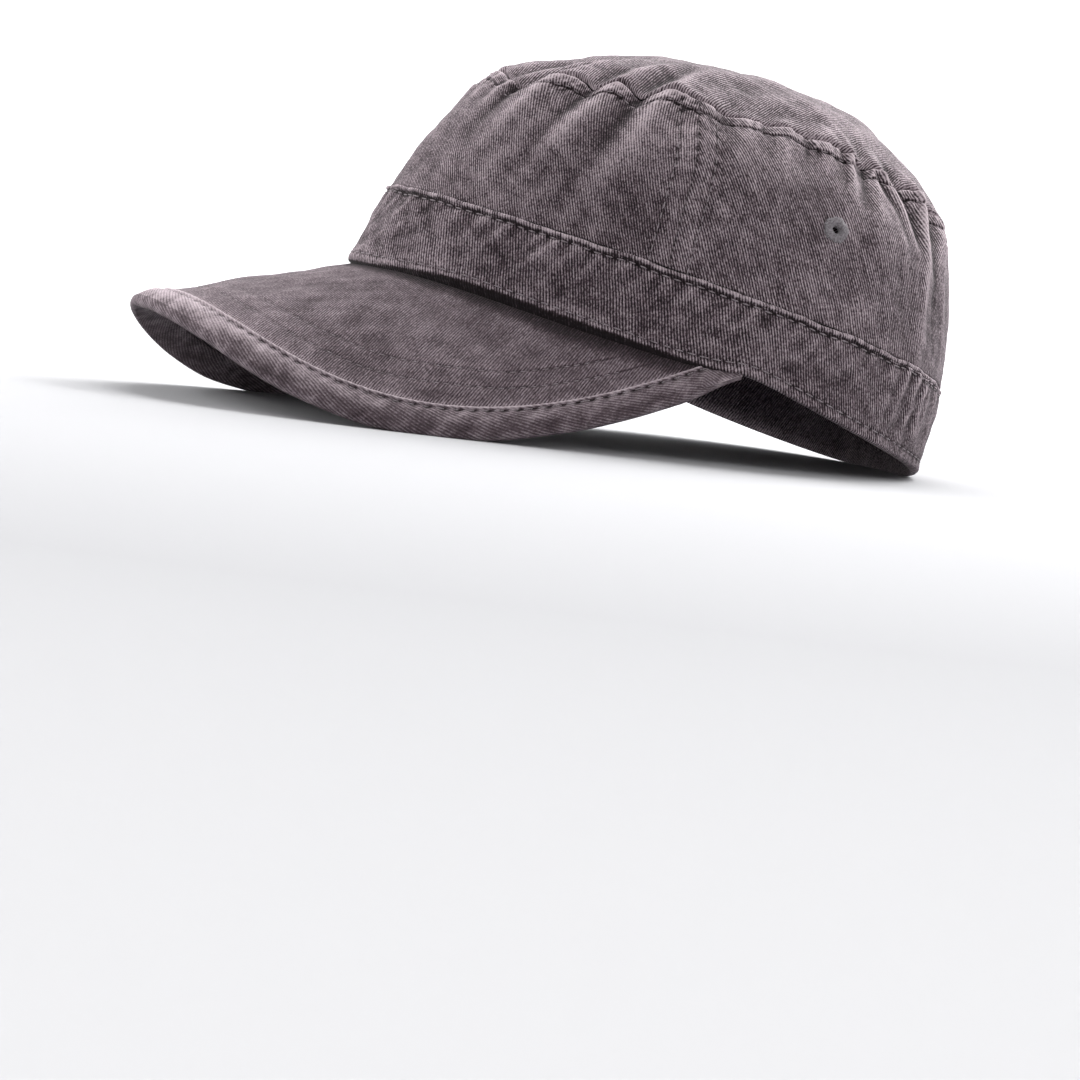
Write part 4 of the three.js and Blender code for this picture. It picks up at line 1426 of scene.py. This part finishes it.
        # Bends count more on the ridge and on the padded crest, so that the crest is lit paler as
        # painted light
        shown = self.base_bend_weight + 0.35 * bell(from_inner - 0.9) + 0.4 * bell((from_inner - 5) / 2.5)
        bend_weight = np.full(shape, self.base_bend_weight)
        bend_weight[:, :rows] = shown[::-1]
        return shade, bend_weight

    def border(self) -> bpy.types.Object:
        """Makes the padded border as one body, rounded over the peak's rim."""
        plan = self.border_plan()
        upper = self.border_face(plan)
        thick = lerp(self.corner_thick, 1.0, ease(plan.to_corner, 0, self.corner_long))
        thick = self.thick * thick
        outward = unit(plan.face[:, -1] - plan.face[:, -2])
        square = plan.normal[:, -1]
        turns = np.radians(np.linspace(12, 168, self.nose_rows))
        nose = [
            upper[:, -1] + thick / 2 * (square * (math.cos(turn) - 1) + outward * math.sin(turn))
            for turn in turns
        ]
        belly = 0.35 * np.sin(math.pi * plan.inner / self.border_width)
        below = plan.face - plan.normal * (thick + belly)[..., None]
        below = below[:, ::-1][:, ::2]
        points = np.concatenate([upper, np.stack(nose, 1), below, upper[:, :1]], 1)[::-1]
        round_edge = self.border_width + self.thick / 2 * turns + 0 * thick
        back = round_edge[:, -1:] + np.linspace(0.5, self.border_width, below.shape[1])
        wide = np.concatenate([plan.from_inner, round_edge, back, back[:, -1:] + 0.5], 1)[::-1]
        cloth = turned_cloth(plan.run[::-1] + 0 * wide, -wide, Grain.BORDER)
        whole_net = Net(points, cloth, *self.border_shading(plan, wide.shape))
        piece = ring_body("peak_border_cloth", whole_net, closed_ends=True)
        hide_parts("peak_border")
        self.nets["border_upper"] = Net(upper, cloth[:, :self.border_rows])
        return piece


@dataclass
class Eyelet:
    """A vent hole bound with close satin stitches through the cloth."""

    radius: float = 3.9
    bore: float = 1.3
    barrel: float = 2.35
    flange: float = 0.85
    clothing: float = 1.4
    threads: int = 46

    def build(self, name: str, middle: Array, normal: Array, up: Array) -> bpy.types.Object:
        """Makes one eyelet as a ring of thread.

        Args:
            name: the node that it stands for.
            middle: its middle on the cloth's outer face.
            normal: direction out of the cloth.
            up: direction up the panel.

        Returns:
            The eyelet.
        """
        columns = self.threads * 8 + 1
        turn = np.linspace(0, 2 * math.pi, columns)[:, None]
        half = self.clothing / 2
        mid = (self.radius + self.bore) / 2
        outline = np.array([
            (self.radius + 0.1, half - 0.25), (self.radius, half + 0.25),
            (self.radius - 0.35, half + 0.55), (mid + 0.4, half + self.flange),
            (mid - 0.2, half + self.flange + 0.05), (self.bore + 0.35, half + 0.6),
            (self.bore, half), (self.bore - 0.05, 0), (self.bore, -half),
            (self.bore + 0.35, -half - 0.6), (mid, -half - self.flange),
            (self.radius - 0.4, -half - 0.45), (self.radius, -half - 0.1),
            (self.barrel, -half + 0.1), (self.barrel, half - 0.1), (self.radius + 0.1, half - 0.25),
        ])
        strand = np.abs(np.cos(turn * self.threads / 2))
        wobble = 0.14 * np.sin(5 * turn + 0.7) + 0.1 * np.sin(11 * turn) + 0.07 * np.sin(17 * turn + 2)
        radii = outline[None, :, 0] + (0.2 * strand + wobble) * (outline[None, :, 0] > mid)
        lift = outline[None, :, 1] + (0.24 * strand + 0.5 * wobble) * (outline[None, :, 1] > half)
        side = unit(np.cross(up, normal))
        base = middle - normal * half
        points = (
            base + radii[..., None] * (np.cos(turn)[..., None] * side + np.sin(turn)[..., None] * up)
            + lift[..., None] * normal
        )
        points[-1] = points[0]
        cloth = np.stack([turn * mid + 0 * radii, radii], -1)
        piece = ring_body(f"{name}_stitching", Net(points[::-1], cloth), closed_ends=False)
        face_outwards(piece)
        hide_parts(name)
        return piece


@dataclass
class StitchRow:
    """One row of stitches: the line that its needle follows, the way out of the cloth, its kind."""

    name: str
    points: Array
    normals: Array
    stitch: Stitch


def add_node(tree: bpy.types.NodeTree, kind: str, **settings: object) -> bpy.types.Node:
    """Adds a node with its settings and links.

    Args:
        tree: the tree to add to.
        kind: the node's type name.
        settings: a property's name with its value, or inputs with a dictionary from a
            socket's name or number to a value or to the output that feeds it.

    Returns:
        The node.
    """
    node = tree.nodes.new(kind)
    inputs = settings.pop("inputs", {})
    for key, value in settings.items():
        setattr(node, key, value)
    for key, value in inputs.items():
        if isinstance(value, bpy.types.NodeSocket):
            tree.links.new(value, node.inputs[key])
        else:
            node.inputs[key].default_value = value
    return node


@dataclass
class StitchTree:
    """The Geometry Nodes tree that sets stitches along a line, each lying on the cloth."""

    seed: int = 21
    shortest: float = 0.86
    longest: float = 1.08
    tree: bpy.types.NodeTree | None = None
    sockets: dict[str, str] = field(default_factory=dict)

    def build(self) -> None:
        """Builds the tree, with its sizes as named inputs."""
        tree = bpy.data.node_groups.new("running_stitch", "GeometryNodeTree")
        face = tree.interface
        face.new_socket("Line", in_out="INPUT", socket_type="NodeSocketGeometry")
        for name in ("Pitch", "Stitch Length", "Thread Thickness"):
            socket = face.new_socket(name, in_out="INPUT", socket_type="NodeSocketFloat")
            self.sockets[name] = socket.identifier
        for name, kind in (("Seed", "NodeSocketInt"), ("Thread", "NodeSocketMaterial")):
            socket = face.new_socket(name, in_out="INPUT", socket_type=kind)
            self.sockets[name] = socket.identifier
        face.new_socket("Stitches", in_out="OUTPUT", socket_type="NodeSocketGeometry")
        given = add_node(tree, "NodeGroupInput").outputs
        curve = add_node(tree, "GeometryNodeMeshToCurve", inputs={0: given["Line"]})
        places = add_node(
            tree, "GeometryNodeResampleCurve", mode="LENGTH",
            inputs={"Curve": curve.outputs[0], "Length": given["Pitch"]},
        )
        ball = add_node(
            tree, "GeometryNodeMeshUVSphere", inputs={"Segments": 8, "Rings": 6, "Radius": 0.5},
        )
        ahead = add_node(tree, "GeometryNodeInputTangent")
        outward = add_node(
            tree, "GeometryNodeInputNamedAttribute", data_type="FLOAT_VECTOR",
            inputs={"Name": "cloth_normal"},
        )
        laid = add_node(
            tree, "FunctionNodeAlignRotationToVector", axis="X", inputs={"Vector": ahead.outputs[0]},
        )
        turned = add_node(
            tree, "FunctionNodeAlignRotationToVector", axis="Z", pivot_axis="X",
            inputs={"Rotation": laid.outputs[0], "Vector": outward.outputs["Attribute"]},
        )
        chance = add_node(
            tree, "FunctionNodeRandomValue", data_type="FLOAT",
            inputs={2: self.shortest, 3: self.longest, "Seed": given["Seed"]},
        )
        long = add_node(
            tree, "ShaderNodeMath", operation="MULTIPLY",
            inputs={0: given["Stitch Length"], 1: chance.outputs[1]},
        )
        thick = given["Thread Thickness"]
        size = add_node(
            tree, "ShaderNodeCombineXYZ", inputs={"X": long.outputs[0], "Y": thick, "Z": thick},
        )
        set_down = add_node(
            tree, "GeometryNodeInstanceOnPoints",
            inputs={
                "Points": places.outputs[0], "Instance": ball.outputs[0],
                "Rotation": turned.outputs[0], "Scale": size.outputs[0],
            },
        )
        real = add_node(tree, "GeometryNodeRealizeInstances", inputs={0: set_down.outputs[0]})
        smooth = add_node(tree, "GeometryNodeSetShadeSmooth", inputs={0: real.outputs[0]})
        thread = add_node(
            tree, "GeometryNodeSetMaterial",
            inputs={"Geometry": smooth.outputs[0], "Material": given["Thread"]},
        )
        add_node(tree, "NodeGroupOutput", inputs={0: thread.outputs[0]})
        self.tree = tree

    def sew(self, row: StitchRow, thread: bpy.types.Material) -> bpy.types.Mesh:
        """Sews one row.

        Args:
            row: the row's line and its kind of stitch.
            thread: the thread's material.

        Returns:
            A plain mesh of the row's stitches.
        """
        places = SETTLED.place(row.points - row.normals * row.stitch.sunk)
        count = len(places)
        mesh = bpy.data.meshes.new(row.name)
        mesh.from_pydata(places.tolist(), [(i, i + 1) for i in range(count - 1)], [])
        normal = mesh.attributes.new("cloth_normal", "FLOAT_VECTOR", "POINT")
        normal.data.foreach_set("vector", SETTLED.turn(row.normals).astype(np.float32).ravel())
        carrier = add_object(row.name, mesh)
        modifier = carrier.modifiers.new("stitches", "NODES")
        modifier.node_group = self.tree
        modifier[self.sockets["Pitch"]] = row.stitch.pitch * MM
        modifier[self.sockets["Stitch Length"]] = row.stitch.length * MM
        modifier[self.sockets["Thread Thickness"]] = row.stitch.thick * MM
        modifier[self.sockets["Seed"]] = self.seed
        modifier[self.sockets["Thread"]] = thread
        graph = bpy.context.evaluated_depsgraph_get()
        made = bpy.data.meshes.new_from_object(carrier.evaluated_get(graph), depsgraph=graph)
        bpy.data.objects.remove(carrier)
        bpy.data.meshes.remove(mesh)
        return made


@dataclass
class Stitching:
    """All the cap's rows of stitches, sewn through the finished cloth."""

    crown: Crown
    band: Band
    peak: Peak
    past_lip: float = 0.9
    past_edge: float = 0.5
    row_ends: float = 3.5

    def crown_rows(self) -> list[StitchRow]:
        """The rows on the crown's panels: under the top seam and beside the side seams."""
        rows = []
        for name, net in self.crown.nets.items():
            if name == "crown_top":
                continue
            columns, count = net.points.shape[:2]
            across = np.arange(1, columns - 1, 0.5)
            foot = self.row_at(net, self.crown.strip_width)
            points, normals = net.line(across, np.interp(across, np.arange(columns), foot))
            rows.append(StitchRow(f"{name}_strip", points, normals, STRIP_STITCH))
            for side in (0, 1):
                up = np.arange(1, count - self.crown.strip_rows + 2, 0.5)
                column = self.column_at(net, self.crown.row_from_seam, side)
                at = np.interp(up, np.arange(count), column)
                points, normals = net.line(at, up)
                rows.append(StitchRow(f"{name}_seam_{side}", points, normals, SIDE_STITCH))
        return rows

    def row_at(self, net: Net, below_top: float) -> Array:
        """The row at a distance below the top edge, for each column."""
        run = way(net.points[:, ::-1], axis=1)
        found = look_up(below_top + self.past_lip, run, np.arange(run.shape[1], dtype=float))
        return run.shape[1] - 1 - smoothed(found)

    def column_at(self, net: Net, from_side: float, side: int) -> Array:
        """The column at a distance from a side edge, for each row."""
        run = way(net.points if side == 0 else net.points[::-1], axis=0)
        found = look_up(from_side + self.past_edge, run.T, np.arange(len(run), dtype=float))
        return smoothed(found) if side == 0 else len(run) - 1 - smoothed(found)

    def band_rows(self) -> list[StitchRow]:
        """The row under the welt and the row along the hem."""
        net, heights = self.band.net, self.band.face_heights
        columns, count = net.points.shape[:2]
        across = np.arange(0, columns - 1, 0.5)
        rows = []
        for name, wanted, stitch in (
            ("band_upper", heights[:, -1] - self.band.row_under_welt, WELT_STITCH),
            ("band_hem", self.band.hem_row, HEM_STITCH),
        ):
            row = look_up(wanted, heights, np.arange(count, dtype=float))
            points, normals = net.line(across, np.interp(across, np.arange(columns), row))
            rows.append(StitchRow(name, points, normals, stitch))
        return rows

    def peak_rows(self) -> list[StitchRow]:
        """The rows on the peak's top and the one beside the border's ridge."""
        peak = self.peak
        rows = []
        for number, row_inset in enumerate(peak.row_insets):
            angle = np.linspace(-FORM.peak_end, FORM.peak_end, 901)
            out, inset = peak.inset_run(angle, peak.fine_rows)
            deep = inset[:, 0] > row_inset + self.row_ends
            face = FORM.peak_face(angle[deep], look_up(-row_inset, -inset[deep], out[deep]))
            normal = FORM.peak_normal(face)
            lift = peak.lumps.at(face) + peak.ripples.at(face) - peak.row_deep
            face = face + normal * lift[:, None]
            rows.append(StitchRow(f"peak_row_{number}", face, normal, PEAK_STITCH))
        net = peak.nets["border_upper"]
        columns, count = net.points.shape[:2]
        across = np.arange(peak.row_start, columns - peak.row_start - 0.5, 0.5)
        row = peak.holes_in / peak.border_width * (count - 1)
        points, normals = net.line(across, np.full(len(across), row))
        rows.append(StitchRow("peak_border_row", points, -normals, BORDER_STITCH))
        return rows

    def build(self, thread: bpy.types.Material) -> list[bpy.types.Object]:
        """Sews every row, as one piece for each sub-assembly.

        Args:
            thread: the material of the thread.

        Returns:
            The pieces.
        """
        tree = StitchTree()
        tree.build()
        pieces = []
        for name, rows in (
            ("crown_stitches", self.crown_rows()), ("band_stitches", self.band_rows()),
            ("peak_stitches", self.peak_rows()),
        ):
            edit = bmesh.new()
            for row in rows:
                made = tree.sew(row, thread)
                edit.from_mesh(made)
                bpy.data.meshes.remove(made)
            mesh = bpy.data.meshes.new(name)
            edit.to_mesh(mesh)
            edit.free()
            mesh.materials.append(thread)
            mesh.shade_smooth()
            pieces.append(add_object(name, mesh))
        return pieces


def linear(colour: str) -> tuple[float, float, float, float]:
    """An sRGB colour such as 5d5254, as the linear values that a shader takes."""
    values = [int(colour[i:i + 2], 16) / 255 for i in (0, 2, 4)]
    curved = [v / 12.92 if v <= 0.04045 else ((v + 0.055) / 1.055) ** 2.4 for v in values]
    return (*curved, 1.0)


@dataclass(frozen=True)
class WashedTwill:
    """Piece-dyed cotton twill, stone washed: raised diagonal lines, paler where rubbed, with painted
    light and shade from its attribute.
    """

    name: str
    hollow: str
    ground: str
    line: str
    rubbed_and_lit: str
    contrast: float = 1.0
    line_weight: float = 0.5
    fibre_weight: float = 1.35
    slub_weight: float = 0.6
    blotches: float = 0.27
    patch_weight: float = 0.28
    wear_and_shade_weight: float = 0.55
    line_pitch: float = LINE_PITCH
    waver: float = 7.0
    slub_length: float = 4.0
    mottle: float = 8.0
    patch: float = 34.0
    roughness: float = 0.95
    sheen: float = 0.05
    relief: float = 0.12

    def make(self) -> bpy.types.Material:
        """Builds the material. It reads the cloth's own places, in metres, and its wear with painted
        shade and light.
        """
        material = bpy.data.materials.new(self.name)
        material.use_nodes = True
        tree = material.node_tree
        tree.nodes.clear()
        cloth = add_node(tree, "ShaderNodeUVMap", uv_map="cloth").outputs[0]
        wear = add_node(tree, "ShaderNodeAttribute", attribute_name="wear").outputs["Fac"]
        lines = self.lines(tree, cloth)
        fibre = self.noise(tree, cloth, (0.5, 0.9), 2.0)
        slub = self.noise(tree, cloth, (self.line_pitch * 0.9, self.slub_length), 2.0)
        mottle = self.noise(tree, cloth, (self.mottle, self.mottle * 1.2), 3.0)
        patch = self.noise(tree, cloth, (self.patch, self.patch), 2.0)
        tone = self.mix(tree, (
            (lines, self.line_weight * self.contrast), (fibre, self.fibre_weight * self.contrast),
            (slub, self.slub_weight * self.contrast), (mottle, self.blotches),
            (patch, self.patch_weight), (wear, self.wear_and_shade_weight),
        ))
        ramp = add_node(tree, "ShaderNodeValToRGB", inputs={0: tone})
        stops = ramp.color_ramp.elements
        # The darkest stop shows in twill furrows and where the attribute paints shade; the palest on
        # line ridges, worn edges and where it paints light
        stops[0].position, stops[0].color = 0.18, linear(self.hollow)
        stops[1].position, stops[1].color = 1.0, linear(self.rubbed_and_lit)
        for position, colour in ((0.5, self.ground), (0.82, self.line)):
            stops.new(position).color = linear(colour)
        colour = ramp.outputs[0]
        height = self.mix(tree, ((lines, 0.6), (fibre, 0.9), (slub, 0.4)))
        bump = add_node(
            tree, "ShaderNodeBump",
            inputs={"Strength": 0.8, "Distance": self.relief * MM * 2, "Height": height},
        )
        skin = add_node(
            tree, "ShaderNodeBsdfPrincipled",
            inputs={
                "Base Color": colour, "Roughness": self.roughness, "Normal": bump.outputs[0],
                "Sheen Weight": self.sheen, "Sheen Roughness": 0.6, "Specular IOR Level": 0.1,
            },
        )
        add_node(tree, "ShaderNodeOutputMaterial", inputs={0: skin.outputs[0]})
        return material

    def lines(self, tree: bpy.types.NodeTree, cloth: bpy.types.NodeSocket) -> bpy.types.NodeSocket:
        """The raised twill lines, from -0.5 in the furrows to 0.5 on the ridges."""
        waver = self.noise(tree, cloth, (16, 16), 1.0)
        apart = add_node(tree, "ShaderNodeSeparateXYZ", inputs={0: cloth})
        count = add_node(
            tree, "ShaderNodeMath", operation="MULTIPLY",
            inputs={0: apart.outputs[0], 1: 2 * math.pi / (self.line_pitch * MM)},
        )
        phase = add_node(
            tree, "ShaderNodeMath", operation="MULTIPLY_ADD",
            inputs={0: waver, 1: self.waver, 2: count.outputs[0]},
        )
        wave = add_node(tree, "ShaderNodeMath", operation="SINE", inputs={0: phase.outputs[0]})
        return add_node(
            tree, "ShaderNodeMath", operation="MULTIPLY", inputs={0: wave.outputs[0], 1: 0.5},
        ).outputs[0]

    def noise(
        self, tree: bpy.types.NodeTree, cloth: bpy.types.NodeSocket,
        size: tuple[float, float], detail: float,
    ) -> bpy.types.NodeSocket:
        """Noise about 0, whose grains are size millimetres across and along the twill line."""
        scale = tuple(1 / (s * MM) for s in size) + (1.0,)
        place = add_node(tree, "ShaderNodeMapping", inputs={0: cloth, "Scale": scale})
        found = add_node(
            tree, "ShaderNodeTexNoise",
            inputs={"Vector": place.outputs[0], "Scale": 1.0, "Detail": detail, "Roughness": 0.6},
        )
        return add_node(
            tree, "ShaderNodeMath", operation="SUBTRACT", inputs={0: found.outputs["Fac"], 1: 0.5},
        ).outputs[0]

    def mix(
        self, tree: bpy.types.NodeTree, parts: tuple[tuple[bpy.types.NodeSocket, float], ...],
    ) -> bpy.types.NodeSocket:
        """The parts, each by its weight, added to 0.5."""
        total: bpy.types.NodeSocket | float = 0.5
        for part, weight in parts:
            total = add_node(
                tree, "ShaderNodeMath", operation="MULTIPLY_ADD",
                inputs={0: part, 1: weight, 2: total},
            ).outputs[0]
        return total


@dataclass(frozen=True)
class SpunThread:
    """Spun cotton sewing thread, washed with the cloth: matt, with a faint twist."""

    name: str
    dark: str
    pale: str
    grain: float = 0.5
    roughness: float = 0.85
    sheen: float = 0.08

    def make(self) -> bpy.types.Material:
        """Builds the material, which reads Object coordinates."""
        material = bpy.data.materials.new(self.name)
        material.use_nodes = True
        tree = material.node_tree
        tree.nodes.clear()
        place = add_node(tree, "ShaderNodeTexCoord").outputs["Object"]
        noise = add_node(
            tree, "ShaderNodeTexNoise",
            inputs={"Vector": place, "Scale": 1 / (self.grain * MM), "Detail": 2.0},
        )
        ramp = add_node(tree, "ShaderNodeValToRGB", inputs={0: noise.outputs["Fac"]})
        stops = ramp.color_ramp.elements
        stops[0].position, stops[0].color = 0.3, linear(self.dark)
        stops[1].position, stops[1].color = 0.7, linear(self.pale)
        bump = add_node(
            tree, "ShaderNodeBump",
            inputs={"Strength": 0.6, "Distance": 0.08 * MM, "Height": noise.outputs["Fac"]},
        )
        skin = add_node(
            tree, "ShaderNodeBsdfPrincipled",
            inputs={
                "Base Color": ramp.outputs[0], "Roughness": self.roughness, "Normal": bump.outputs[0],
                "Sheen Weight": self.sheen, "Sheen Roughness": 0.5, "Specular IOR Level": 0.25,
            },
        )
        add_node(tree, "ShaderNodeOutputMaterial", inputs={0: skin.outputs[0]})
        return material


# Cotton twill, piece dyed and stone washed: brown-violet charcoal, paler on every raised edge, with
# painted shade in its hollows and gaps
TWILL = WashedTwill(
    "washed_cotton_twill", hollow="150f11", ground="463b40", line="8e8287", rubbed_and_lit="a2969a",
)
# The same cloth over the peak's board, pulled flat, so that its lines are fainter
COVER = WashedTwill(
    "washed_twill_over_board", hollow="1c1517", ground="493e43", line="887c81", rubbed_and_lit="9c9094",
    contrast=0.6, blotches=0.3,
)
# The same cloth cut on the bias for the border, a little paler; its ridge and padded crest are lit
# paler, partly as wear and partly as painted light
BORDER = WashedTwill(
    "washed_twill_binding", hollow="1e1719", ground="4c4146", line="91858a", rubbed_and_lit="a79b9f",
    contrast=0.38, blotches=0.65, mottle=5.0,
)
# Spun cotton sewing thread of the cloth's own colour, slightly paler after washing
SEWING = SpunThread("spun_cotton_thread", dark="564c50", pale="8f868a")
# Mercerised embroidery cotton in a clearer grey, in close satin stitches
SATIN = SpunThread("satin_stitched_cotton", dark="5a5558", pale="938e92", sheen=0.15)


@dataclass(frozen=True)
class SoftBox:
    """A square soft light: where it stands and what it is aimed at, its side in metres, its watts."""

    name: str
    place: tuple[float, float, float]
    size: float
    power: float
    target: tuple[float, float, float] = (0, 0, 0.06)


SOFT_BOXES = (
    SoftBox("softbox_front", place=(-0.75, -1.1, 0.7), size=0.8, power=21.5),
    SoftBox("softbox_back", place=(-0.7, 1.05, 0.9), size=0.9, power=40.0),
    SoftBox("softbox_high", place=(-0.5, 0.2, 1.3), size=0.8, power=22.0),
    SoftBox("softbox_rear", place=(0.75, 1.25, 0.7), size=0.7, power=11.0),
    SoftBox("softbox_low", place=(1.3, -1.3, 0.2), size=0.5, power=4.0),
    SoftBox("softbox_wall", place=(-1.5, 0.55, 1.9), size=1.6, power=75.0, target=(-4.0, 1.45, 0.2)),
)


@dataclass
class Studio:
    """The pale floor that sweeps up into a round wall, soft lights, and the camera."""

    azimuth: float = math.radians(69.81)
    elevation: float = math.radians(-0.36)
    roll: float = math.radians(19.56)
    aside: float = 35.86
    above: float = 114.93
    aim: tuple[float, float, float] = (0, -25, 55)
    distance: float = 1300.0
    focal_pixels: float = 3983.27
    frame_pixels: float = 1080.0
    sensor: float = 36.0
    floor_flat: float = 3.0
    floor_bend: float = 1.2
    wall_high: float = 2.4
    floor_sides: int = 96

    def camera(self) -> bpy.types.Object:
        """Makes the camera, at the photograph's angle to the cap."""
        az, el = self.azimuth, self.elevation
        back = np.array([math.sin(az) * math.cos(el), -math.cos(az) * math.cos(el), math.sin(el)])
        flat = np.array([math.cos(az), math.sin(az), 0])
        up = np.cross(back, flat)
        right = math.cos(self.roll) * flat + math.sin(self.roll) * up
        top = -math.sin(self.roll) * flat + math.cos(self.roll) * up
        place = np.array(self.aim) + self.distance * back - self.aside * right - self.above * top
        axes = [SETTLED.turn(axis) for axis in (right, top, back)]
        lens = bpy.data.cameras.new("camera")
        lens.sensor_width = self.sensor
        lens.lens = self.sensor * self.focal_pixels / self.frame_pixels
        camera = add_object("camera", lens)
        turn = Matrix([Vector(axis) for axis in axes]).transposed().to_4x4()
        spot = Vector(SETTLED.place(place, on_floor=False))
        camera.matrix_world = Matrix.Translation(spot) @ turn
        bpy.context.scene.camera = camera
        return camera

    def floor(self) -> bpy.types.Object:
        """Makes the floor and the round wall that it sweeps up into."""
        flat, bend, sides = self.floor_flat, self.floor_bend, self.floor_sides
        profile = [(flat / 5, 0.0), (flat, 0.0)]
        profile += [
            (flat + bend * math.sin(turn), bend * (1 - math.cos(turn)))
            for turn in np.radians(np.linspace(8, 90, 12))
        ]
        profile.append((flat + bend, self.wall_high + bend))
        edit = bmesh.new()
        rings = []
        for radius, height in profile:
            rings.append([
                edit.verts.new((radius * math.cos(turn), radius * math.sin(turn), height))
                for turn in np.linspace(0, 2 * math.pi, sides, endpoint=False)
            ])
        middle = edit.verts.new((0, 0, 0))
        for i in range(sides):
            k = (i + 1) % sides
            edit.faces.new((middle, rings[0][i], rings[0][k]))
            for low, high in zip(rings, rings[1:]):
                edit.faces.new((low[i], high[i], high[k], low[k]))
        mesh = bpy.data.meshes.new("studio_floor")
        edit.to_mesh(mesh)
        edit.free()
        mesh.shade_smooth()
        mesh.materials.append(self.paper())
        floor = add_object("studio_floor", mesh)
        return floor

    def paper(self) -> bpy.types.Material:
        """Matt white paper, greyer under the cap, where it would throw up too much light."""
        material = bpy.data.materials.new("matt_background_paper")
        material.use_nodes = True
        tree = material.node_tree
        skin = tree.nodes["Principled BSDF"]
        place = add_node(tree, "ShaderNodeTexCoord").outputs["Object"]
        away = add_node(tree, "ShaderNodeVectorMath", operation="LENGTH", inputs={0: place})
        near = add_node(
            tree, "ShaderNodeMath", operation="MULTIPLY", inputs={0: away.outputs["Value"], 1: 0.4},
        )
        ramp = add_node(tree, "ShaderNodeValToRGB", inputs={0: near.outputs[0]})
        stops = ramp.color_ramp.elements
        stops[0].position, stops[0].color = 0.25, linear("a2a2a4")
        stops[1].position, stops[1].color = 0.8, linear("fbfbfc")
        tree.links.new(ramp.outputs[0], skin.inputs["Base Color"])
        skin.inputs["Roughness"].default_value = 0.95
        skin.inputs["Specular IOR Level"].default_value = 0.1
        return material

    def lights(self) -> None:
        """Makes the soft boxes and the room's even light."""
        for box in SOFT_BOXES:
            lamp = bpy.data.lights.new(box.name, "AREA")
            lamp.size = box.size
            lamp.energy = box.power
            light = add_object(box.name, lamp)
            spot = Vector(box.place)
            aim = (Vector(box.target) - spot).to_track_quat("-Z", "Y")
            light.matrix_world = Matrix.Translation(spot) @ aim.to_matrix().to_4x4()
        world = bpy.data.worlds.new("studio")
        world.use_nodes = True
        shade = world.node_tree.nodes["Background"]
        shade.inputs[0].default_value = linear("ffffff")
        shade.inputs[1].default_value = 0.5
        bpy.context.scene.world = world
        bpy.context.scene.view_settings.view_transform = "Standard"

    def build(self) -> None:
        """Sets up the studio."""
        self.camera()
        self.floor()
        self.lights()


def finish_piece(piece: bpy.types.Object, material: bpy.types.Material) -> None:
    """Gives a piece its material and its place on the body.

    Args:
        piece: the piece.
        material: its finish.
    """
    if not piece.data.materials:
        piece.data.materials.append(material)
    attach(piece, "root")
    LOG.info("%s: %d faces", piece.name, len(piece.data.polygons))


def main() -> None:
    """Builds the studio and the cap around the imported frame."""
    logging.basicConfig(level=logging.INFO, format="%(name)s %(message)s")
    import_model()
    Studio().build()
    twill, cover, border = TWILL.make(), COVER.make(), BORDER.make()
    thread, satin = SEWING.make(), SATIN.make()
    crown, band, peak = Crown(), Band(), Peak()
    for piece in crown.build():
        finish_piece(piece, twill)
    finish_piece(band.build(), twill)
    for piece in peak.covers():
        finish_piece(piece, cover)
    finish_piece(peak.border(), border)
    for name, side in (("eyelet_left", 1), ("eyelet_right", -1)):
        middle, normal, up = crown.eyelet_place(side)
        finish_piece(Eyelet().build(name, middle, normal, up), satin)
    for piece in Stitching(crown, band, peak).build(thread):
        finish_piece(piece, thread)


if __name__ == "__main__":
    main()
